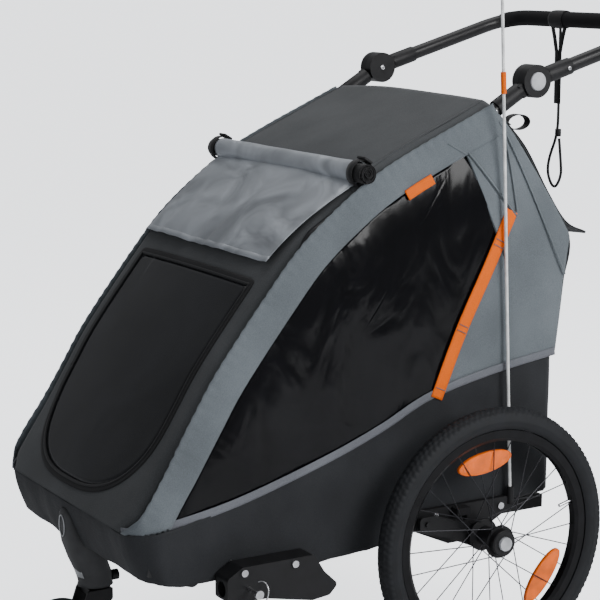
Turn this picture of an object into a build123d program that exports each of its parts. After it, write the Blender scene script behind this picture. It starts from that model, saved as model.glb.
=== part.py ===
from build123d import *
from math import atan2, cos, degrees, hypot, radians, sin
import os

# Child bicycle trailer for two children, millimetres.
# Working frame: +X is the vehicle's left, -Y is forward, +Z is up, z = 0 is the ground and
# the origin lies under the middle of the main axle. save() moves every piece along Y by
# SHIFT_Y, so that the written model's origin is the middle of its footprint.

# ---- overall sizes ----
TYRE_OD = 500.0          # 47-406 tyre on a 20 inch rim
TYRE_W = 46.0
BEAD_R = 203.0           # bead seat radius of that rim
TRACK = 740.0            # between the two wheels' middle planes
HALF_W = 300.0           # outer face of the side panels
TUBE_X = 265.0           # middle of the side tubes, from the middle of the cabin
TUBE_D = 24.0            # side tube diameter
FLOOR_Z = 275.0          # middle of the base rails
RAIL = 25.0              # base rail, square section
RAIL_X = 272.0           # middle of each base rail
RAIL_FRONT = -668.0
RAIL_REAR = 160.0
SKIN = 3.0               # coated tub fabric and its stiffener
GAP = 0.5                # clearance between flat neighbours
FIT = 0.3                # clearance between curved neighbours
RUN = 0.05               # radial clearance of a shaft in its bore

# ---- side profile of the cabin, as (y, z) ----
PIVOT = (-655.0, 345.0)          # front fold pivot, lower end of the side tubes
TUBE_KNEE = (-330.0, 829.0)      # bend between the sloping front and the roof
TUBE_ROOF = (-170.0, 929.0)
TUBE_REAR = (57.0, 1033.0)       # where the side tube meets the rear uprights
HUB = (149.0, 1088.0)            # handlebar hub
SEAM_REAR = (192.0, 571.0)       # tub's top edge at the rear
SEAM_MID = (-97.0, 519.0)
SEAM_LOW = (-313.0, 427.0)
SEAM_FRONT = (-690.0, 339.0)     # tub's top edge at the front
WAIST_REAR = (212.0, 720.0)
WAIST_TOP = (224.0, 796.0)
ROOF_END = (60.0, 1024.0)

# ---- wheels ----
AXLE_D = 12.0
HUB_D = 62.0
CAP_D = 50.0
LENS_T = 8.6             # spoke reflector, clipped between the two rows of spokes
CAP_OUT = 415.0          # outer face of the hub cap's button
SPOKES = 28
SPOKE_D = 2.0
CASTER_OD = 146.0
CASTER_W = 38.0
CASTER_Y = -716.0
NECK_Y = -640.0

# ---- handlebar ----
BAR_Y = 490.0
BAR_Z = 1187.0
BAR_D = 22.0
GRIP_D = 30.0
HUB_DISC_D = 62.0
HUB_DISC_T = 38.0
BUTTON_D = 34.0

# ---- other sizes that set a fit ----
ROLL_D = 44.0            # rolled-up sun cover
POLE_D = 6.0
POLE_X = 311.0
POLE_TOP = 1560.0
TOW_BORE_R = 14.3        # takes a 28 mm tow arm
TOW_BORE_L = 64.0
TOW_PIN_D = 8.0
STRUT_D = 26.0           # lower, outer upright
STRUT_BORE = 20.4
STRUT_FOOT = (150.0, 310.0)
FOLD = 25.0              # how far the cover frame folds down, degrees
STRUT_PLUG = 20.0        # solid foot of the lower upright
SLEEVE_BORE = 15.4       # middle upright, which slides in the lower one
STRUT_LAP = 80.0         # how far the upper upright still sits in the middle one
STRUT_CAP = 22.0         # end cap of the upper upright
STRUT_SHOW = 5.0         # how far each tube still shows when folded
OPEN_PIVOT = 10.0        # clearance where the upper upright meets its side tube
SEAT_PIVOT = (50.0, 410.0)
SEAT_TILT = 8.0          # seat back leans back by this, degrees
SEAT_H = 400.0
SEAT_W = 490.0
CUSHION_Z = 375.0        # top of the seat cushion
SWING_PIVOT = (-120.0, 285.0)

REAR_Y = BAR_Y + GRIP_D / 2
FRONT_Y = CASTER_Y - CASTER_OD / 2
SHIFT_Y = -(REAR_Y + FRONT_Y) / 2
WHEEL_X = TRACK / 2
AXLE_Z = TYRE_OD / 2
SIDES = (("left", 1), ("right", -1))

os.makedirs("parts", exist_ok=True)


def save(name, *shapes):
    """Write one node: each shape stays a solid of its own."""
    solids = [s for shape in shapes for s in shape.solids()]
    export_step(Compound(children=[Pos(0, SHIFT_Y, 0) * s for s in solids]), f"parts/{name}.step")


def plate(points, x0, x1, corner=0.0, grow=0.0):
    """A flat plate with the outline points in Y and Z, between two X positions."""
    face = make_face(Polyline(*points, close=True).edges())
    if corner:
        face = fillet(face.vertices(), corner)
    if grow:
        face = offset(face, amount=grow)
    return extrude(Plane.YZ.offset(min(x0, x1)) * face, amount=abs(x1 - x0))


def block(x, y, z):
    """A box between two values of each coordinate."""
    size = [abs(v[1] - v[0]) for v in (x, y, z)]
    return Pos((x[0] + x[1]) / 2, (y[0] + y[1]) / 2, (z[0] + z[1]) / 2) * Box(*size)


def rod(start, end, diameter):
    """A round bar between two points."""
    line = Vector(*end) - Vector(*start)
    return extrude(Plane(start, z_dir=line) * Circle(diameter / 2), amount=line.length)


def bent_rod(points, bend, diameter):
    """A round bar along straight runs that are joined by arcs."""
    path = FilletPolyline(*points, radius=bend)
    start = Plane(points[0], z_dir=Vector(*points[1]) - Vector(*points[0]))
    return sweep(start * Circle(diameter / 2), path=path)


def both(shape):
    """A left-hand piece and its mirror image on the right."""
    return [shape, mirror(shape, about=Plane.YZ)]


def along(a, b, share, inward=0.0):
    """A point on the line from a to b, moved to its right-hand side by inward."""
    dy, dz = b[0] - a[0], b[1] - a[1]
    run = hypot(dy, dz)
    return (a[0] + share * dy + inward * dz / run, a[1] + share * dz - inward * dy / run)


def ring(profile, x=0.0, y=0.0, z=0.0):
    """A body of revolution about an X axis through (x, y, z): profile holds (x, radius)."""
    face = Plane.XZ * make_face(Polyline(*profile, close=True).edges())
    return Pos(x, y, z) * revolve(face, Axis.X)


# ---- places that several pieces share ----
RAIL_IN = RAIL_X - RAIL / 2
RAIL_OUT = RAIL_X + RAIL / 2
RAIL_TOP = FLOOR_Z + RAIL / 2
RAIL_BOTTOM = FLOOR_Z - RAIL / 2
FLOOR_TOP = RAIL_TOP + SKIN
PANEL_X = TUBE_X + TUBE_D / 2 + 4.0      # inner face of the upper side panels
ARM_IN = HALF_W + 24.0                   # inner face of a swing arm
ARM_OUT = ARM_IN + 8.0
TOW_X = HALF_W + 24.0                    # axis of the tow arm socket
TOW_Z = 233.0
TOW_FRONT = -547.0
PIN_D = 10.0
NOSE_TIP = (-702.0, 312.0)
NOSE_LOW = (-680.0, 252.0)
POLE_FOOT = (POLE_X, 84.0, 300.0)
POLE_END = (POLE_X, 30.0, POLE_TOP)
WINDOW_SPAN = (0.09, 0.80)               # front window, as shares of the tubes' front slope
WINDOW_HALF = 214.0
ROLL_HALF = 292.0
SIDE_WINDOW = [(-628, 376), (-316, 446), (-104, 532), (66, 842), (-26, 966), (-184, 916),
               (-332, 812), (-560, 515)]
WAIST_LINE = (WAIST_TOP[0] - 74, WAIST_TOP[1] + 20)
FLAP_HINGE = along(TUBE_REAR, HUB, 0.2, 4)
FLAP_KNEE = (256.0, 806.0)
FLAP_TIP = (308.0, 784.0)
FLAP_HALF = TUBE_X - 20
STRAP_X = -84.0
STRAP_JOIN = 950.0
STRAP_END = 832.0
STRAP_D = 6.0
STRAP_RADII = [60, 50, 45, 20, 18, 40, 40]
SHELL = TUBE_D / 2 + GAP                 # from a side tube's middle to the cover on it


def base_frame():
    """Two square rails, the tubes across them, and the lugs for what hinges on them."""
    rails, crosses = [], []
    for _, s in SIDES:
        rail = block((s * RAIL_IN, s * RAIL_OUT), (RAIL_FRONT, RAIL_REAR + 22), (RAIL_BOTTOM, RAIL_TOP))
        y, z = PIVOT
        lug_x = TUBE_X + TUBE_D / 2 + FIT
        lug = plate([(y - 13, FLOOR_Z), (y + 22, FLOOR_Z), (y + 13, z + 13), (y - 13, z + 13)],
                    s * lug_x, s * RAIL_OUT, 5)
        pin = rod((s * RAIL_OUT, y, z), (s * (TUBE_X - TUBE_D / 2), y, z), PIN_D)
        fy, fz = STRUT_FOOT
        foot_x = TUBE_X + STRUT_D / 2 + FIT
        foot = plate([(fy - 14, FLOOR_Z), (fy + 14, FLOOR_Z), (fy + 12, fz + 12), (fy - 12, fz + 12)],
                     s * foot_x, s * (foot_x + 5), 5)
        foot_pin = rod((s * (foot_x + 5), fy, fz), (s * (TUBE_X - STRUT_D / 2), fy, fz), PIN_D)
        rails.append(rail + lug + pin + foot + foot_pin)
    for y in (RAIL_FRONT + 32, -430, 0, RAIL_REAR):
        crosses.append(block((-RAIL_IN, RAIL_IN), (y - RAIL / 2, y + RAIL / 2), (RAIL_BOTTOM, RAIL_TOP)))
    bar_z = CUSHION_Z - 40 - GAP - RAIL / 2
    leg_in = RAIL_IN + 3
    seat_y, seat_z = SEAT_PIVOT
    for _, s in SIDES:
        x = (s * leg_in, s * (leg_in + 18))
        crosses.append(block(x, (-262, -238), (RAIL_TOP, bar_z + RAIL / 2)))
        crosses.append(block(x, (seat_y - 12, seat_y + 12), (RAIL_TOP, seat_z + 14)))
        crosses.append(block((s * 50, s * 56), (RAIL_REAR + RAIL / 2, RAIL_REAR + 34), (254, 284)))
    crosses.append(rod((-leg_in, -250, bar_z), (leg_in, -250, bar_z), RAIL))
    crosses.append(rod((-leg_in, seat_y, seat_z), (leg_in, seat_y, seat_z), 20))
    crosses.append(rod((-50, RAIL_REAR + 24, 269), (50, RAIL_REAR + 24, 269), 8))
    save("side_rails", *rails)
    save("cross_tubes", *crosses)


def tub():
    """The lower body: floor, two sides, sloping nose and rear wall."""
    inside = HALF_W - SKIN - GAP
    floor = block((-inside, inside), (-630, RAIL_REAR + 8), (RAIL_TOP, FLOOR_TOP))
    for _, s in SIDES:
        for y, dy in ((-250, 12), (SEAT_PIVOT[0], 12)):
            leg = (s * (RAIL_IN + 3 - GAP), s * (RAIL_IN + 21 + GAP))
            floor -= block(leg, (y - dy - GAP, y + dy + GAP), (RAIL_TOP - 1, FLOOR_TOP + 1))
        foot_x = TUBE_X + STRUT_D / 2
        foot_y = STRUT_FOOT[0]
        floor -= block((s * (foot_x - 1), s * (foot_x + 7)), (foot_y - 16, foot_y + 16),
                       (RAIL_TOP - 1, FLOOR_TOP + 1))
    save("floor_panel", floor)
    edge = [SEAM_REAR, (SEAM_REAR[0] - 12, 300), (79, 297), (-205, 251), (-347, 240),
            (-509, 240), (-640, 244), NOSE_LOW, NOSE_TIP, SEAM_FRONT, SEAM_LOW, SEAM_MID]
    for name, s in SIDES:
        side = plate(edge, s * (HALF_W - SKIN), s * HALF_W, 3)
        save(f"tub_side_{name}", side)
    nose = plate([SEAM_FRONT, NOSE_TIP, NOSE_LOW, (-640, 244), (-640, 247), (NOSE_LOW[0] + 2, NOSE_LOW[1] + 3),
                  (NOSE_TIP[0] + 3, NOSE_TIP[1] + 1), (SEAM_FRONT[0] + 4, SEAM_FRONT[1])], -inside, inside)
    notch = block((-34, 34), (-720, -600), (230, 322))
    save("tub_front", nose - notch)
    y, z = SEAM_REAR
    top = z - 2
    rear = plate([(y - 4, top), (y - 1, top), (y - 13, 300), (y - 16, 300)], -inside, inside)
    save("tub_rear", rear)


def suspension():
    """Bracket plates on the rails, swing arms under them with stub axles, and bump stops."""
    py, pz = SWING_PIVOT
    brackets, bolts, stops = [], [], []
    for name, s in SIDES:
        x0, x1 = HALF_W + GAP, HALF_W + 12
        shape = plate([(-136, 306), (86, 306), (70, 276), (-10, 234), (-60, 234), (-136, 268)],
                      s * x0, s * x1, 8)
        shape -= rod((s * x0, -24, 282), (s * x1, -24, 282), 16)
        pin = rod((s * x1, py, pz), (s * (ARM_OUT + 4), py, pz), PIN_D)
        if s > 0:
            shape += rod(POLE_FOOT[:2] + (POLE_FOOT[2] - 10,), POLE_FOOT[:2] + (POLE_FOOT[2] + 24,), 14)
            shape -= rod(POLE_FOOT, POLE_END, POLE_D + 2 * RUN)
        brackets.append(shape + pin)
        for y, z in ((60, 290), (-90, 292)):
            bolts.append(rod((s * x1, y, z), (s * (x1 + 4), y, z), 13))
            bolts.append(rod((s * RAIL_OUT, y, FLOOR_Z), (s * (HALF_W - SKIN), y, FLOOR_Z), 8))
        stops.append(block((s * (x1 + GAP), s * (ARM_OUT - 1)), (-52, -22), (290, 304)))
        arm = plate([(py - 16, pz - 14), (py - 16, pz + 14), (py + 16, pz + 14), (-20, 272),
                     (16, 266), (20, 236), (-20, 228), (-70, 250)], s * ARM_IN, s * ARM_OUT, 7)
        arm -= rod((s * ARM_IN, py, pz), (s * ARM_OUT, py, pz), PIN_D + 2 * RUN)
        axle = rod((s * (ARM_OUT - 4), 0, AXLE_Z), (s * (WHEEL_X + 29), 0, AXLE_Z), AXLE_D)
        collar = rod((s * ARM_OUT, 0, AXLE_Z), (s * (WHEEL_X - 37.4), 0, AXLE_Z), 22)
        save(f"swing_arm_{name}", arm + axle + collar)
    save("suspension_brackets", *brackets)
    save("bump_stops", *stops)
    return bolts


def tyre_profile():
    """Half-round tyre section that sits between the rim's hooks, as (x, radius)."""
    top = TYRE_OD / 2
    half = TYRE_W / 2
    base = Polyline((-15, 209.6), (-10.2, 209.6), (-10.2, BEAD_R + FIT), (10.2, BEAD_R + FIT),
                    (10.2, 209.6), (15, 209.6))
    right = ThreePointArc((15, 209.6), (half, top - 22), (14, top - 4.5))
    crown = ThreePointArc((14, top - 4.5), (0, top), (-14, top - 4.5))
    left = ThreePointArc((-14, top - 4.5), (-half, top - 22), (-15, 209.6))
    return make_face([*base.edges(), *right.edges(), *crown.edges(), *left.edges()])


def spoke_ends(index):
    """Where a spoke leaves the hub flange and where it meets the rim, in the wheel's frame."""
    rim_angle = 2 * 180 / SPOKES * index
    outer = index % 2
    leading = (index // 2) % 2
    hub_angle = rim_angle + (50 if leading else -50)
    x = (27.4 if leading else 19.0) if outer else (-33.4 if leading else -25.0)
    a, b = radians(hub_angle), radians(rim_angle)
    return ((x, 28 * cos(a), 28 * sin(a)), (1.5 if outer else -1.5, 187.6 * cos(b), 187.6 * sin(b)))


def wheels():
    """Two spoked wheels on stub axles, each with a push button in its hub cap."""
    rim = [(-12.5, 209), (-10.5, 209), (-10.5, BEAD_R), (10.5, BEAD_R), (10.5, 209), (12.5, 209),
           (12.5, 194), (8, 188), (-8, 188), (-12.5, 194)]
    bore = AXLE_D / 2 + RUN
    cap = CAP_D / 2
    hub = [(-37, bore), (-37, 22), (-31, 22), (-31, HUB_D / 2), (-27, HUB_D / 2), (-25, 18), (19, 18),
           (21, HUB_D / 2), (25, HUB_D / 2), (25, cap), (37, cap), (39, cap - 2), (39, 13.3),
           (30, 13.3), (30, bore)]
    for name, s in SIDES:
        place = (s * WHEEL_X, 0, AXLE_Z)
        tyre = revolve(Plane.XZ * tyre_profile(), Axis.X)
        save(f"tyre_{name}", Pos(*place) * tyre)
        save(f"rim_{name}", ring(rim, *place))
        save(f"hub_{name}", ring([(s * x, r) for x, r in hub], *place))
        spokes = []
        for index in range(SPOKES):
            start, end = spoke_ends(index)
            spokes.append(Pos(*place) * rod((s * start[0], *start[1:]), (s * end[0], *end[1:]), SPOKE_D))
        save(f"spokes_{name}", *spokes)
        button = rod((s * (WHEEL_X + 33.5), 0, AXLE_Z), (s * CAP_OUT, 0, AXLE_Z), 26)
        save(f"hub_button_{name}", fillet(button.edges(), 1))
        plates = []
        for angle in (75, 230):
            lens = extrude(Plane.YZ.offset(-LENS_T / 2) * Ellipse(38, 14), amount=LENS_T)
            lens = Pos(0, 0, 130) * lens
            plates.append(Pos(*place) * Rot(angle, 0, 0) * lens)
        save(f"spoke_reflectors_{name}", *plates)


def caster():
    """Front steering wheel: housing on the nose, swivel fork, wheel and its locking pin."""
    bore = 22 + 2 * RUN
    sleeve = rod((0, NECK_Y, 165), (0, NECK_Y, 250), 46)
    body = plate([(-672, 318), (-656, 318), (-650, 250), (-655, 236), (-668, 236), (-676, 262)],
                 -32, 32, 3)
    flange = block((-32, 32), (-662, NECK_Y), (240, RAIL_BOTTOM - GAP))
    housing = sleeve + body + flange - rod((0, NECK_Y, 160), (0, NECK_Y, 246), bore)
    housing -= rod((0, NECK_Y, 176), (0, NECK_Y + 40, 176), 8 + 2 * RUN)
    save("steerer_housing", housing)
    knob = rod((0, NECK_Y + 13, 176), (0, NECK_Y + 34, 176), 8) + rod((0, NECK_Y + 30, 176),
                                                                    (0, NECK_Y + 44, 176), 20)
    save("lock_knob", knob)
    axle_z = CASTER_OD / 2
    arms = []
    for s in (1, -1):
        arms.append(plate([(-668, 160), (-618, 160), (-618, 140), (-698, 62), (CASTER_Y - 6, 58),
                           (CASTER_Y - 14, 74), (-690, 98)], s * (CASTER_W / 2 + 3), s * (CASTER_W / 2 + 8), 5))
    crown = block((-CASTER_W / 2 - 8, CASTER_W / 2 + 8), (-662, -618), (148.5, 160))
    stem = rod((0, NECK_Y, 158), (0, NECK_Y, 240), 22)
    shoulder = rod((0, NECK_Y, 158), (0, NECK_Y, 164.5), 36)
    reach = CASTER_W / 2 + 5
    axle = rod((-reach, CASTER_Y, axle_z), (reach, CASTER_Y, axle_z), 10)
    save("caster_fork", arms[0] + arms[1] + crown + stem + shoulder + axle)
    half = CASTER_W / 2
    rim = [(-half, 5 + RUN), (-half, 14), (-8, 17), (-8, 44), (-half + 3, 46), (-half + 3, 50),
           (half - 3, 50), (half - 3, 46), (8, 44), (8, 17), (half, 14), (half, 5 + RUN)]
    save("caster_wheel", ring(rim, 0, CASTER_Y, axle_z))
    tyre = revolve(Plane.XZ * (Pos(0, 61.5) * RectangleRounded(CASTER_W, 23, 11)), Axis.X)
    tyre &= ring([(-half, 50), (half, 50), (half, CASTER_OD / 2), (-half, CASTER_OD / 2)])
    save("caster_tyre", Pos(0, CASTER_Y, axle_z) * tyre)


def tow_coupling(bolts):
    """Socket on the left rail for a tow arm, with a cross pin that locks the arm in."""
    x0, x1 = HALF_W + GAP, TOW_X + 22
    y, z = TOW_FRONT, TOW_Z
    body = plate([(y, z - 22), (y, z + 22), (y + 30, z + 40), (-372, z + 40), (-351, z + 6),
                  (-322, z - 22), (-340, z - 40), (-376, z - 44), (-470, z - 24)], x0, x1, 8)
    body -= rod((TOW_X, y - 1, z), (TOW_X, y + TOW_BORE_L, z), 2 * TOW_BORE_R)
    pin_y = y + 42
    body -= rod((x0 - 1, pin_y, z), (x1 + 1, pin_y, z), TOW_PIN_D + 2 * RUN)
    save("tow_socket", body)
    tip = TOW_X + TOW_BORE_R + 1.5
    head = tip + 40.5
    pin = rod((tip, pin_y, z), (head + 1, pin_y, z), TOW_PIN_D) + rod((head, pin_y, z),
                                                                     (head + 6, pin_y, z), 16)
    save("tow_pin", pin)
    for by in (-514, -412):
        bolts.append(rod((x1, by, z + 30), (x1 + 4, by, z + 30), 13))
        bolts.append(rod((RAIL_OUT, by, FLOOR_Z - 6), (HALF_W - SKIN, by, FLOOR_Z - 6), 8))
    save("chassis_bolts", *bolts)


def strip(points, near, far, x0, x1):
    """A sheet that follows a line in Y and Z, between two distances outside that line."""
    lower = [along(points[0], points[1], 0, -near)]
    upper = [along(points[0], points[1], 0, -far)]
    for a, b, c in zip(points, points[1:], points[2:]):
        first, second = atan2(b[1] - a[1], b[0] - a[0]), atan2(c[1] - b[1], c[0] - b[0])
        middle, half = (first + second) / 2, (second - first) / 2
        for line, dist in ((lower, near), (upper, far)):
            reach = dist / cos(half)
            line.append((b[0] - reach * sin(middle), b[1] + reach * cos(middle)))
    lower.append(along(points[-2], points[-1], 1, -near))
    upper.append(along(points[-2], points[-1], 1, -far))
    return plate(lower + upper[::-1], x0, x1)


def cover_frame():
    """Bent side tubes from the front pivots to the handlebar hubs, and the tubes across."""
    tubes = []
    for _, s in SIDES:
        x = s * TUBE_X
        toward = along(HUB, TUBE_REAR, 1 - 34 / hypot(HUB[0] - TUBE_REAR[0], HUB[1] - TUBE_REAR[1]))
        end = along(TUBE_REAR, HUB, 1 - 34 / hypot(HUB[0] - TUBE_REAR[0], HUB[1] - TUBE_REAR[1]))
        points = [PIVOT, TUBE_KNEE, TUBE_ROOF, TUBE_REAR, end]
        tube = bent_rod([(x, y, z) for y, z in points], 60, TUBE_D)
        eye = rod((x - TUBE_D / 2, *PIVOT), (x + TUBE_D / 2, *PIVOT), 30)
        hole = rod((x - TUBE_D, *PIVOT), (x + TUBE_D, *PIVOT), PIN_D + 2 * RUN)
        tubes.append(tube + eye - hole)
    save("side_tubes", *tubes)
    reach = TUBE_X - TUBE_D / 2 - FIT
    crosses = []
    for share, a, b in ((0.30, PIVOT, TUBE_KNEE), (0.75, TUBE_KNEE, TUBE_ROOF), (0.97, TUBE_ROOF, TUBE_REAR)):
        y, z = along(a, b, share, 2)
        crosses.append(rod((-reach, y, z), (reach, y, z), 18))
    save("roof_cross_tubes", *crosses)


def cover():
    """Fabric over the frame: front with its window, roof, side panels, rear and its flap."""
    front = [along(PIVOT, TUBE_KNEE, 0.04), TUBE_KNEE, along(TUBE_KNEE, TUBE_ROOF, 0.70)]
    roof = [along(TUBE_KNEE, TUBE_ROOF, 0.705), TUBE_ROOF, TUBE_REAR]
    sheet = strip(front, SHELL, SHELL + 2, -TUBE_X, TUBE_X)
    low, high = WINDOW_SPAN
    a, b = along(PIVOT, TUBE_KNEE, low, -40), along(PIVOT, TUBE_KNEE, high, -40)
    c, d = along(PIVOT, TUBE_KNEE, high, 20), along(PIVOT, TUBE_KNEE, low, 20)
    hole = plate([a, b, c, d], -WINDOW_HALF, WINDOW_HALF)
    save("front_cover", sheet - hole)
    slack = GAP / hypot(TUBE_KNEE[0] - PIVOT[0], TUBE_KNEE[1] - PIVOT[1])
    span = [along(PIVOT, TUBE_KNEE, low + slack), along(PIVOT, TUBE_KNEE, high - 2 * slack)]
    save("front_window", strip(span, SHELL, SHELL + 2, -WINDOW_HALF + GAP, WINDOW_HALF - GAP))
    save("roof_panel", strip(roof, SHELL, SHELL + 2, -TUBE_X, TUBE_X))
    y, z = along(TUBE_KNEE, TUBE_ROOF, 0.76, -(SHELL + 2 + FIT + ROLL_D / 2))
    save("cover_roll", rod((-ROLL_HALF, y, z), (ROLL_HALF, y, z), ROLL_D))
    flap = [along(PIVOT, TUBE_KNEE, 0.86), TUBE_KNEE, along(TUBE_KNEE, TUBE_ROOF, 0.55)]
    save("sun_flap", strip(flap, SHELL + 2 + FIT, SHELL + 4 + FIT, -TUBE_X + 20, TUBE_X - 20))

    crease = [along(PIVOT, TUBE_KNEE, 0.02, -14), along(TUBE_KNEE, TUBE_ROOF, 0.0, -12),
              along(TUBE_ROOF, TUBE_REAR, 0.0, -12), along(TUBE_ROOF, TUBE_REAR, 1.0, -8)]
    outline = crease + [WAIST_TOP, WAIST_REAR, (SEAM_REAR[0], SEAM_REAR[1] + GAP),
                        (SEAM_MID[0], SEAM_MID[1] + GAP), (SEAM_LOW[0], SEAM_LOW[1] + GAP)]
    for name, s in SIDES:
        x0, x1 = s * PANEL_X, s * (PANEL_X + 3)
        pane = plate(SIDE_WINDOW, x0, x1, 12)
        grown = plate(SIDE_WINDOW, x0, x1, 12, GAP)
        save(f"side_panel_{name}", plate(outline, x0, x1) - grown)
        save(f"side_window_{name}", pane)
    foot, top = (SEAM_REAR[0] - 2, SEAM_REAR[1] - 2 + GAP), (ROOF_END[0] + 22, ROOF_END[1] - 24)
    save("rear_panel", plate([foot, WAIST_LINE, top, (top[0] - 3, top[1]), (WAIST_LINE[0] - 3, WAIST_LINE[1]),
                              (foot[0] - 3, foot[1])], -PANEL_X + GAP, PANEL_X - GAP))
    y, z = FLAP_HINGE
    sheet = plate([(y, z + 4), FLAP_KNEE, FLAP_TIP, (FLAP_TIP[0] - 4, FLAP_TIP[1]),
                   (FLAP_KNEE[0] - 3, FLAP_KNEE[1] - 2), (y, z)], -FLAP_HALF, FLAP_HALF)
    reach = TUBE_X - TUBE_D / 2 - FIT
    hem = rod((-reach, y, z), (reach, y, z), 9)
    save("rear_flap", sheet + hem)


def folded_travel(length):
    """How much each rear upright shortens when the cover frame folds down."""
    turn = radians(-FOLD)
    dy, dz = TUBE_REAR[0] - PIVOT[0], TUBE_REAR[1] - PIVOT[1]
    y = PIVOT[0] + dy * cos(turn) - dz * sin(turn)
    z = PIVOT[1] + dy * sin(turn) + dz * cos(turn)
    return length - hypot(y - STRUT_FOOT[0], z - STRUT_FOOT[1])


def uprights():
    """Rear uprights of three tubes each: the lowest swings, the other two slide in turn."""
    low, middle, high = [], [], []
    fy, fz = STRUT_FOOT
    length = hypot(TUBE_REAR[0] - fy, TUBE_REAR[1] - fz)
    uy, uz = (TUBE_REAR[0] - fy) / length, (TUBE_REAR[1] - fz) / length
    travel = folded_travel(length)
    top = length - TUBE_D / 2 - OPEN_PIVOT
    low_top = top - travel - STRUT_CAP - 2 * STRUT_SHOW
    mid_top = low_top + travel / 2 + STRUT_SHOW
    mid_bottom = STRUT_PLUG + STRUT_SHOW + travel / 2
    for _, s in SIDES:
        x = s * TUBE_X

        def at(dist):
            return (x, fy + uy * dist, fz + uz * dist)

        tube = rod(at(0), at(low_top), STRUT_D)
        foot = rod((x - STRUT_D / 2, fy, fz), (x + STRUT_D / 2, fy, fz), STRUT_D + 4)
        tube = tube + foot - rod(at(STRUT_PLUG), at(low_top + 1), STRUT_BORE)
        tube -= rod((x - STRUT_D, fy, fz), (x + STRUT_D, fy, fz), PIN_D + 2 * RUN)
        low.append(tube)
        sleeve = rod(at(mid_bottom), at(mid_top), STRUT_BORE - 2 * RUN)
        middle.append(sleeve - rod(at(mid_bottom - 1), at(mid_top + 1), SLEEVE_BORE))
        cap = rod(at(top - STRUT_CAP), at(top), STRUT_D - 1)
        high.append(rod(at(mid_top - STRUT_LAP), at(top), SLEEVE_BORE - 2 * RUN) + cap)
    save("upright_lower", *low)
    save("upright_middle", *middle)
    save("upright_upper", *high)


def half_hub(side, outer, out_angle):
    """One half of a handlebar joint: a disc with a neck towards the tube that it holds."""
    y, z = HUB
    half = HUB_DISC_T / 2
    x0, x1 = (FIT / 2, half) if outer else (-half, -FIT / 2)
    disc = rod((side * (TUBE_X + x0), y, z), (side * (TUBE_X + x1), y, z), HUB_DISC_D)
    c, d = cos(radians(out_angle)), sin(radians(out_angle))
    reach = HUB_DISC_D / 2 + 2.5
    web0, web1 = (TUBE_X + FIT / 2 + 1, TUBE_X + 14) if outer else (TUBE_X - 14, TUBE_X - FIT / 2 - 1)
    web = Pos((web0 + web1) / 2, 0, 0) * Box(web1 - web0, 34, 26)
    web = Pos(0, y + c * (reach - 12), z + d * (reach - 12)) * Rot(out_angle, 0, 0) * web
    neck = rod((TUBE_X, y + c * reach, z + d * reach), (TUBE_X, y + c * (reach + 24), z + d * (reach + 24)), 31)
    if side < 0:
        web, neck = mirror(web, about=Plane.YZ), mirror(neck, about=Plane.YZ)
    return disc + web + neck


def handlebar():
    """Push bar on two disc joints, with a padded grip, a button in each joint and a strap."""
    y, z = HUB
    down = degrees(atan2(TUBE_REAR[1] - z, TUBE_REAR[0] - y))
    up = degrees(atan2(BAR_Z - z, BAR_Y - y))
    fixed, moving = [], []
    for name, s in SIDES:
        face = TUBE_X + HUB_DISC_T / 2
        well = rod((s * (face - 12), y, z), (s * (face + 1), y, z), BUTTON_D + 2 * FIT)
        tube_dir = (cos(radians(down)), sin(radians(down)))
        tube = rod((s * TUBE_X, y + 30 * tube_dir[0], z + 30 * tube_dir[1]),
                   (s * TUBE_X, y + 70 * tube_dir[0], z + 70 * tube_dir[1]), TUBE_D)
        fixed.append(half_hub(s, True, down) - well - tube)
        moving.append(half_hub(s, False, up))
        button = rod((s * (face - 6), y, z), (s * (face + 4), y, z), BUTTON_D)
        save(f"handle_button_{name}", fillet(button.edges(), 2))
    save("handle_hubs", *fixed)
    dy, dz = cos(radians(up)), sin(radians(up))
    start = HUB_DISC_D / 2 + 6
    a = (TUBE_X, y + dy * start, z + dz * start)
    bar = bent_rod([a, (TUBE_X, BAR_Y, BAR_Z), (-TUBE_X, BAR_Y, BAR_Z), (-a[0], a[1], a[2])], 70, BAR_D)
    joined = bar + moving[0] + moving[1]
    save("handlebar", joined)
    grip_half = TUBE_X - 74
    grip = rod((-grip_half, BAR_Y, BAR_Z), (grip_half, BAR_Y, BAR_Z), GRIP_D)
    save("handle_grip", grip - rod((-grip_half, BAR_Y, BAR_Z), (grip_half, BAR_Y, BAR_Z), BAR_D + 2 * RUN))
    x, loop_top = STRAP_X, STRAP_JOIN
    route = [(x, BAR_Z - GRIP_D / 2 - GAP), (x, loop_top + 60), (x - 1, loop_top - 5), (x - 30, loop_top - 60),
             (x - 33, STRAP_END + 22), (x - 8, STRAP_END - 8), (x + 15, STRAP_END + 24), (x + 12, loop_top - 62),
             (x + 4.5, loop_top - 14)]
    points = [(px, BAR_Y, pz) for px, pz in route]
    path = FilletPolyline(*points, radius=STRAP_RADII)
    section = Plane(points[0], z_dir=Vector(0, 0, -1)) * Circle(STRAP_D / 2)
    strap = sweep(section, path=path)
    share = strap.volume / (section.area * path.length)
    print("wrist strap", round(path.length, 1), "mm, radii", STRAP_RADII, "volume over section", round(share, 4))
    save("wrist_strap", strap)


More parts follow.
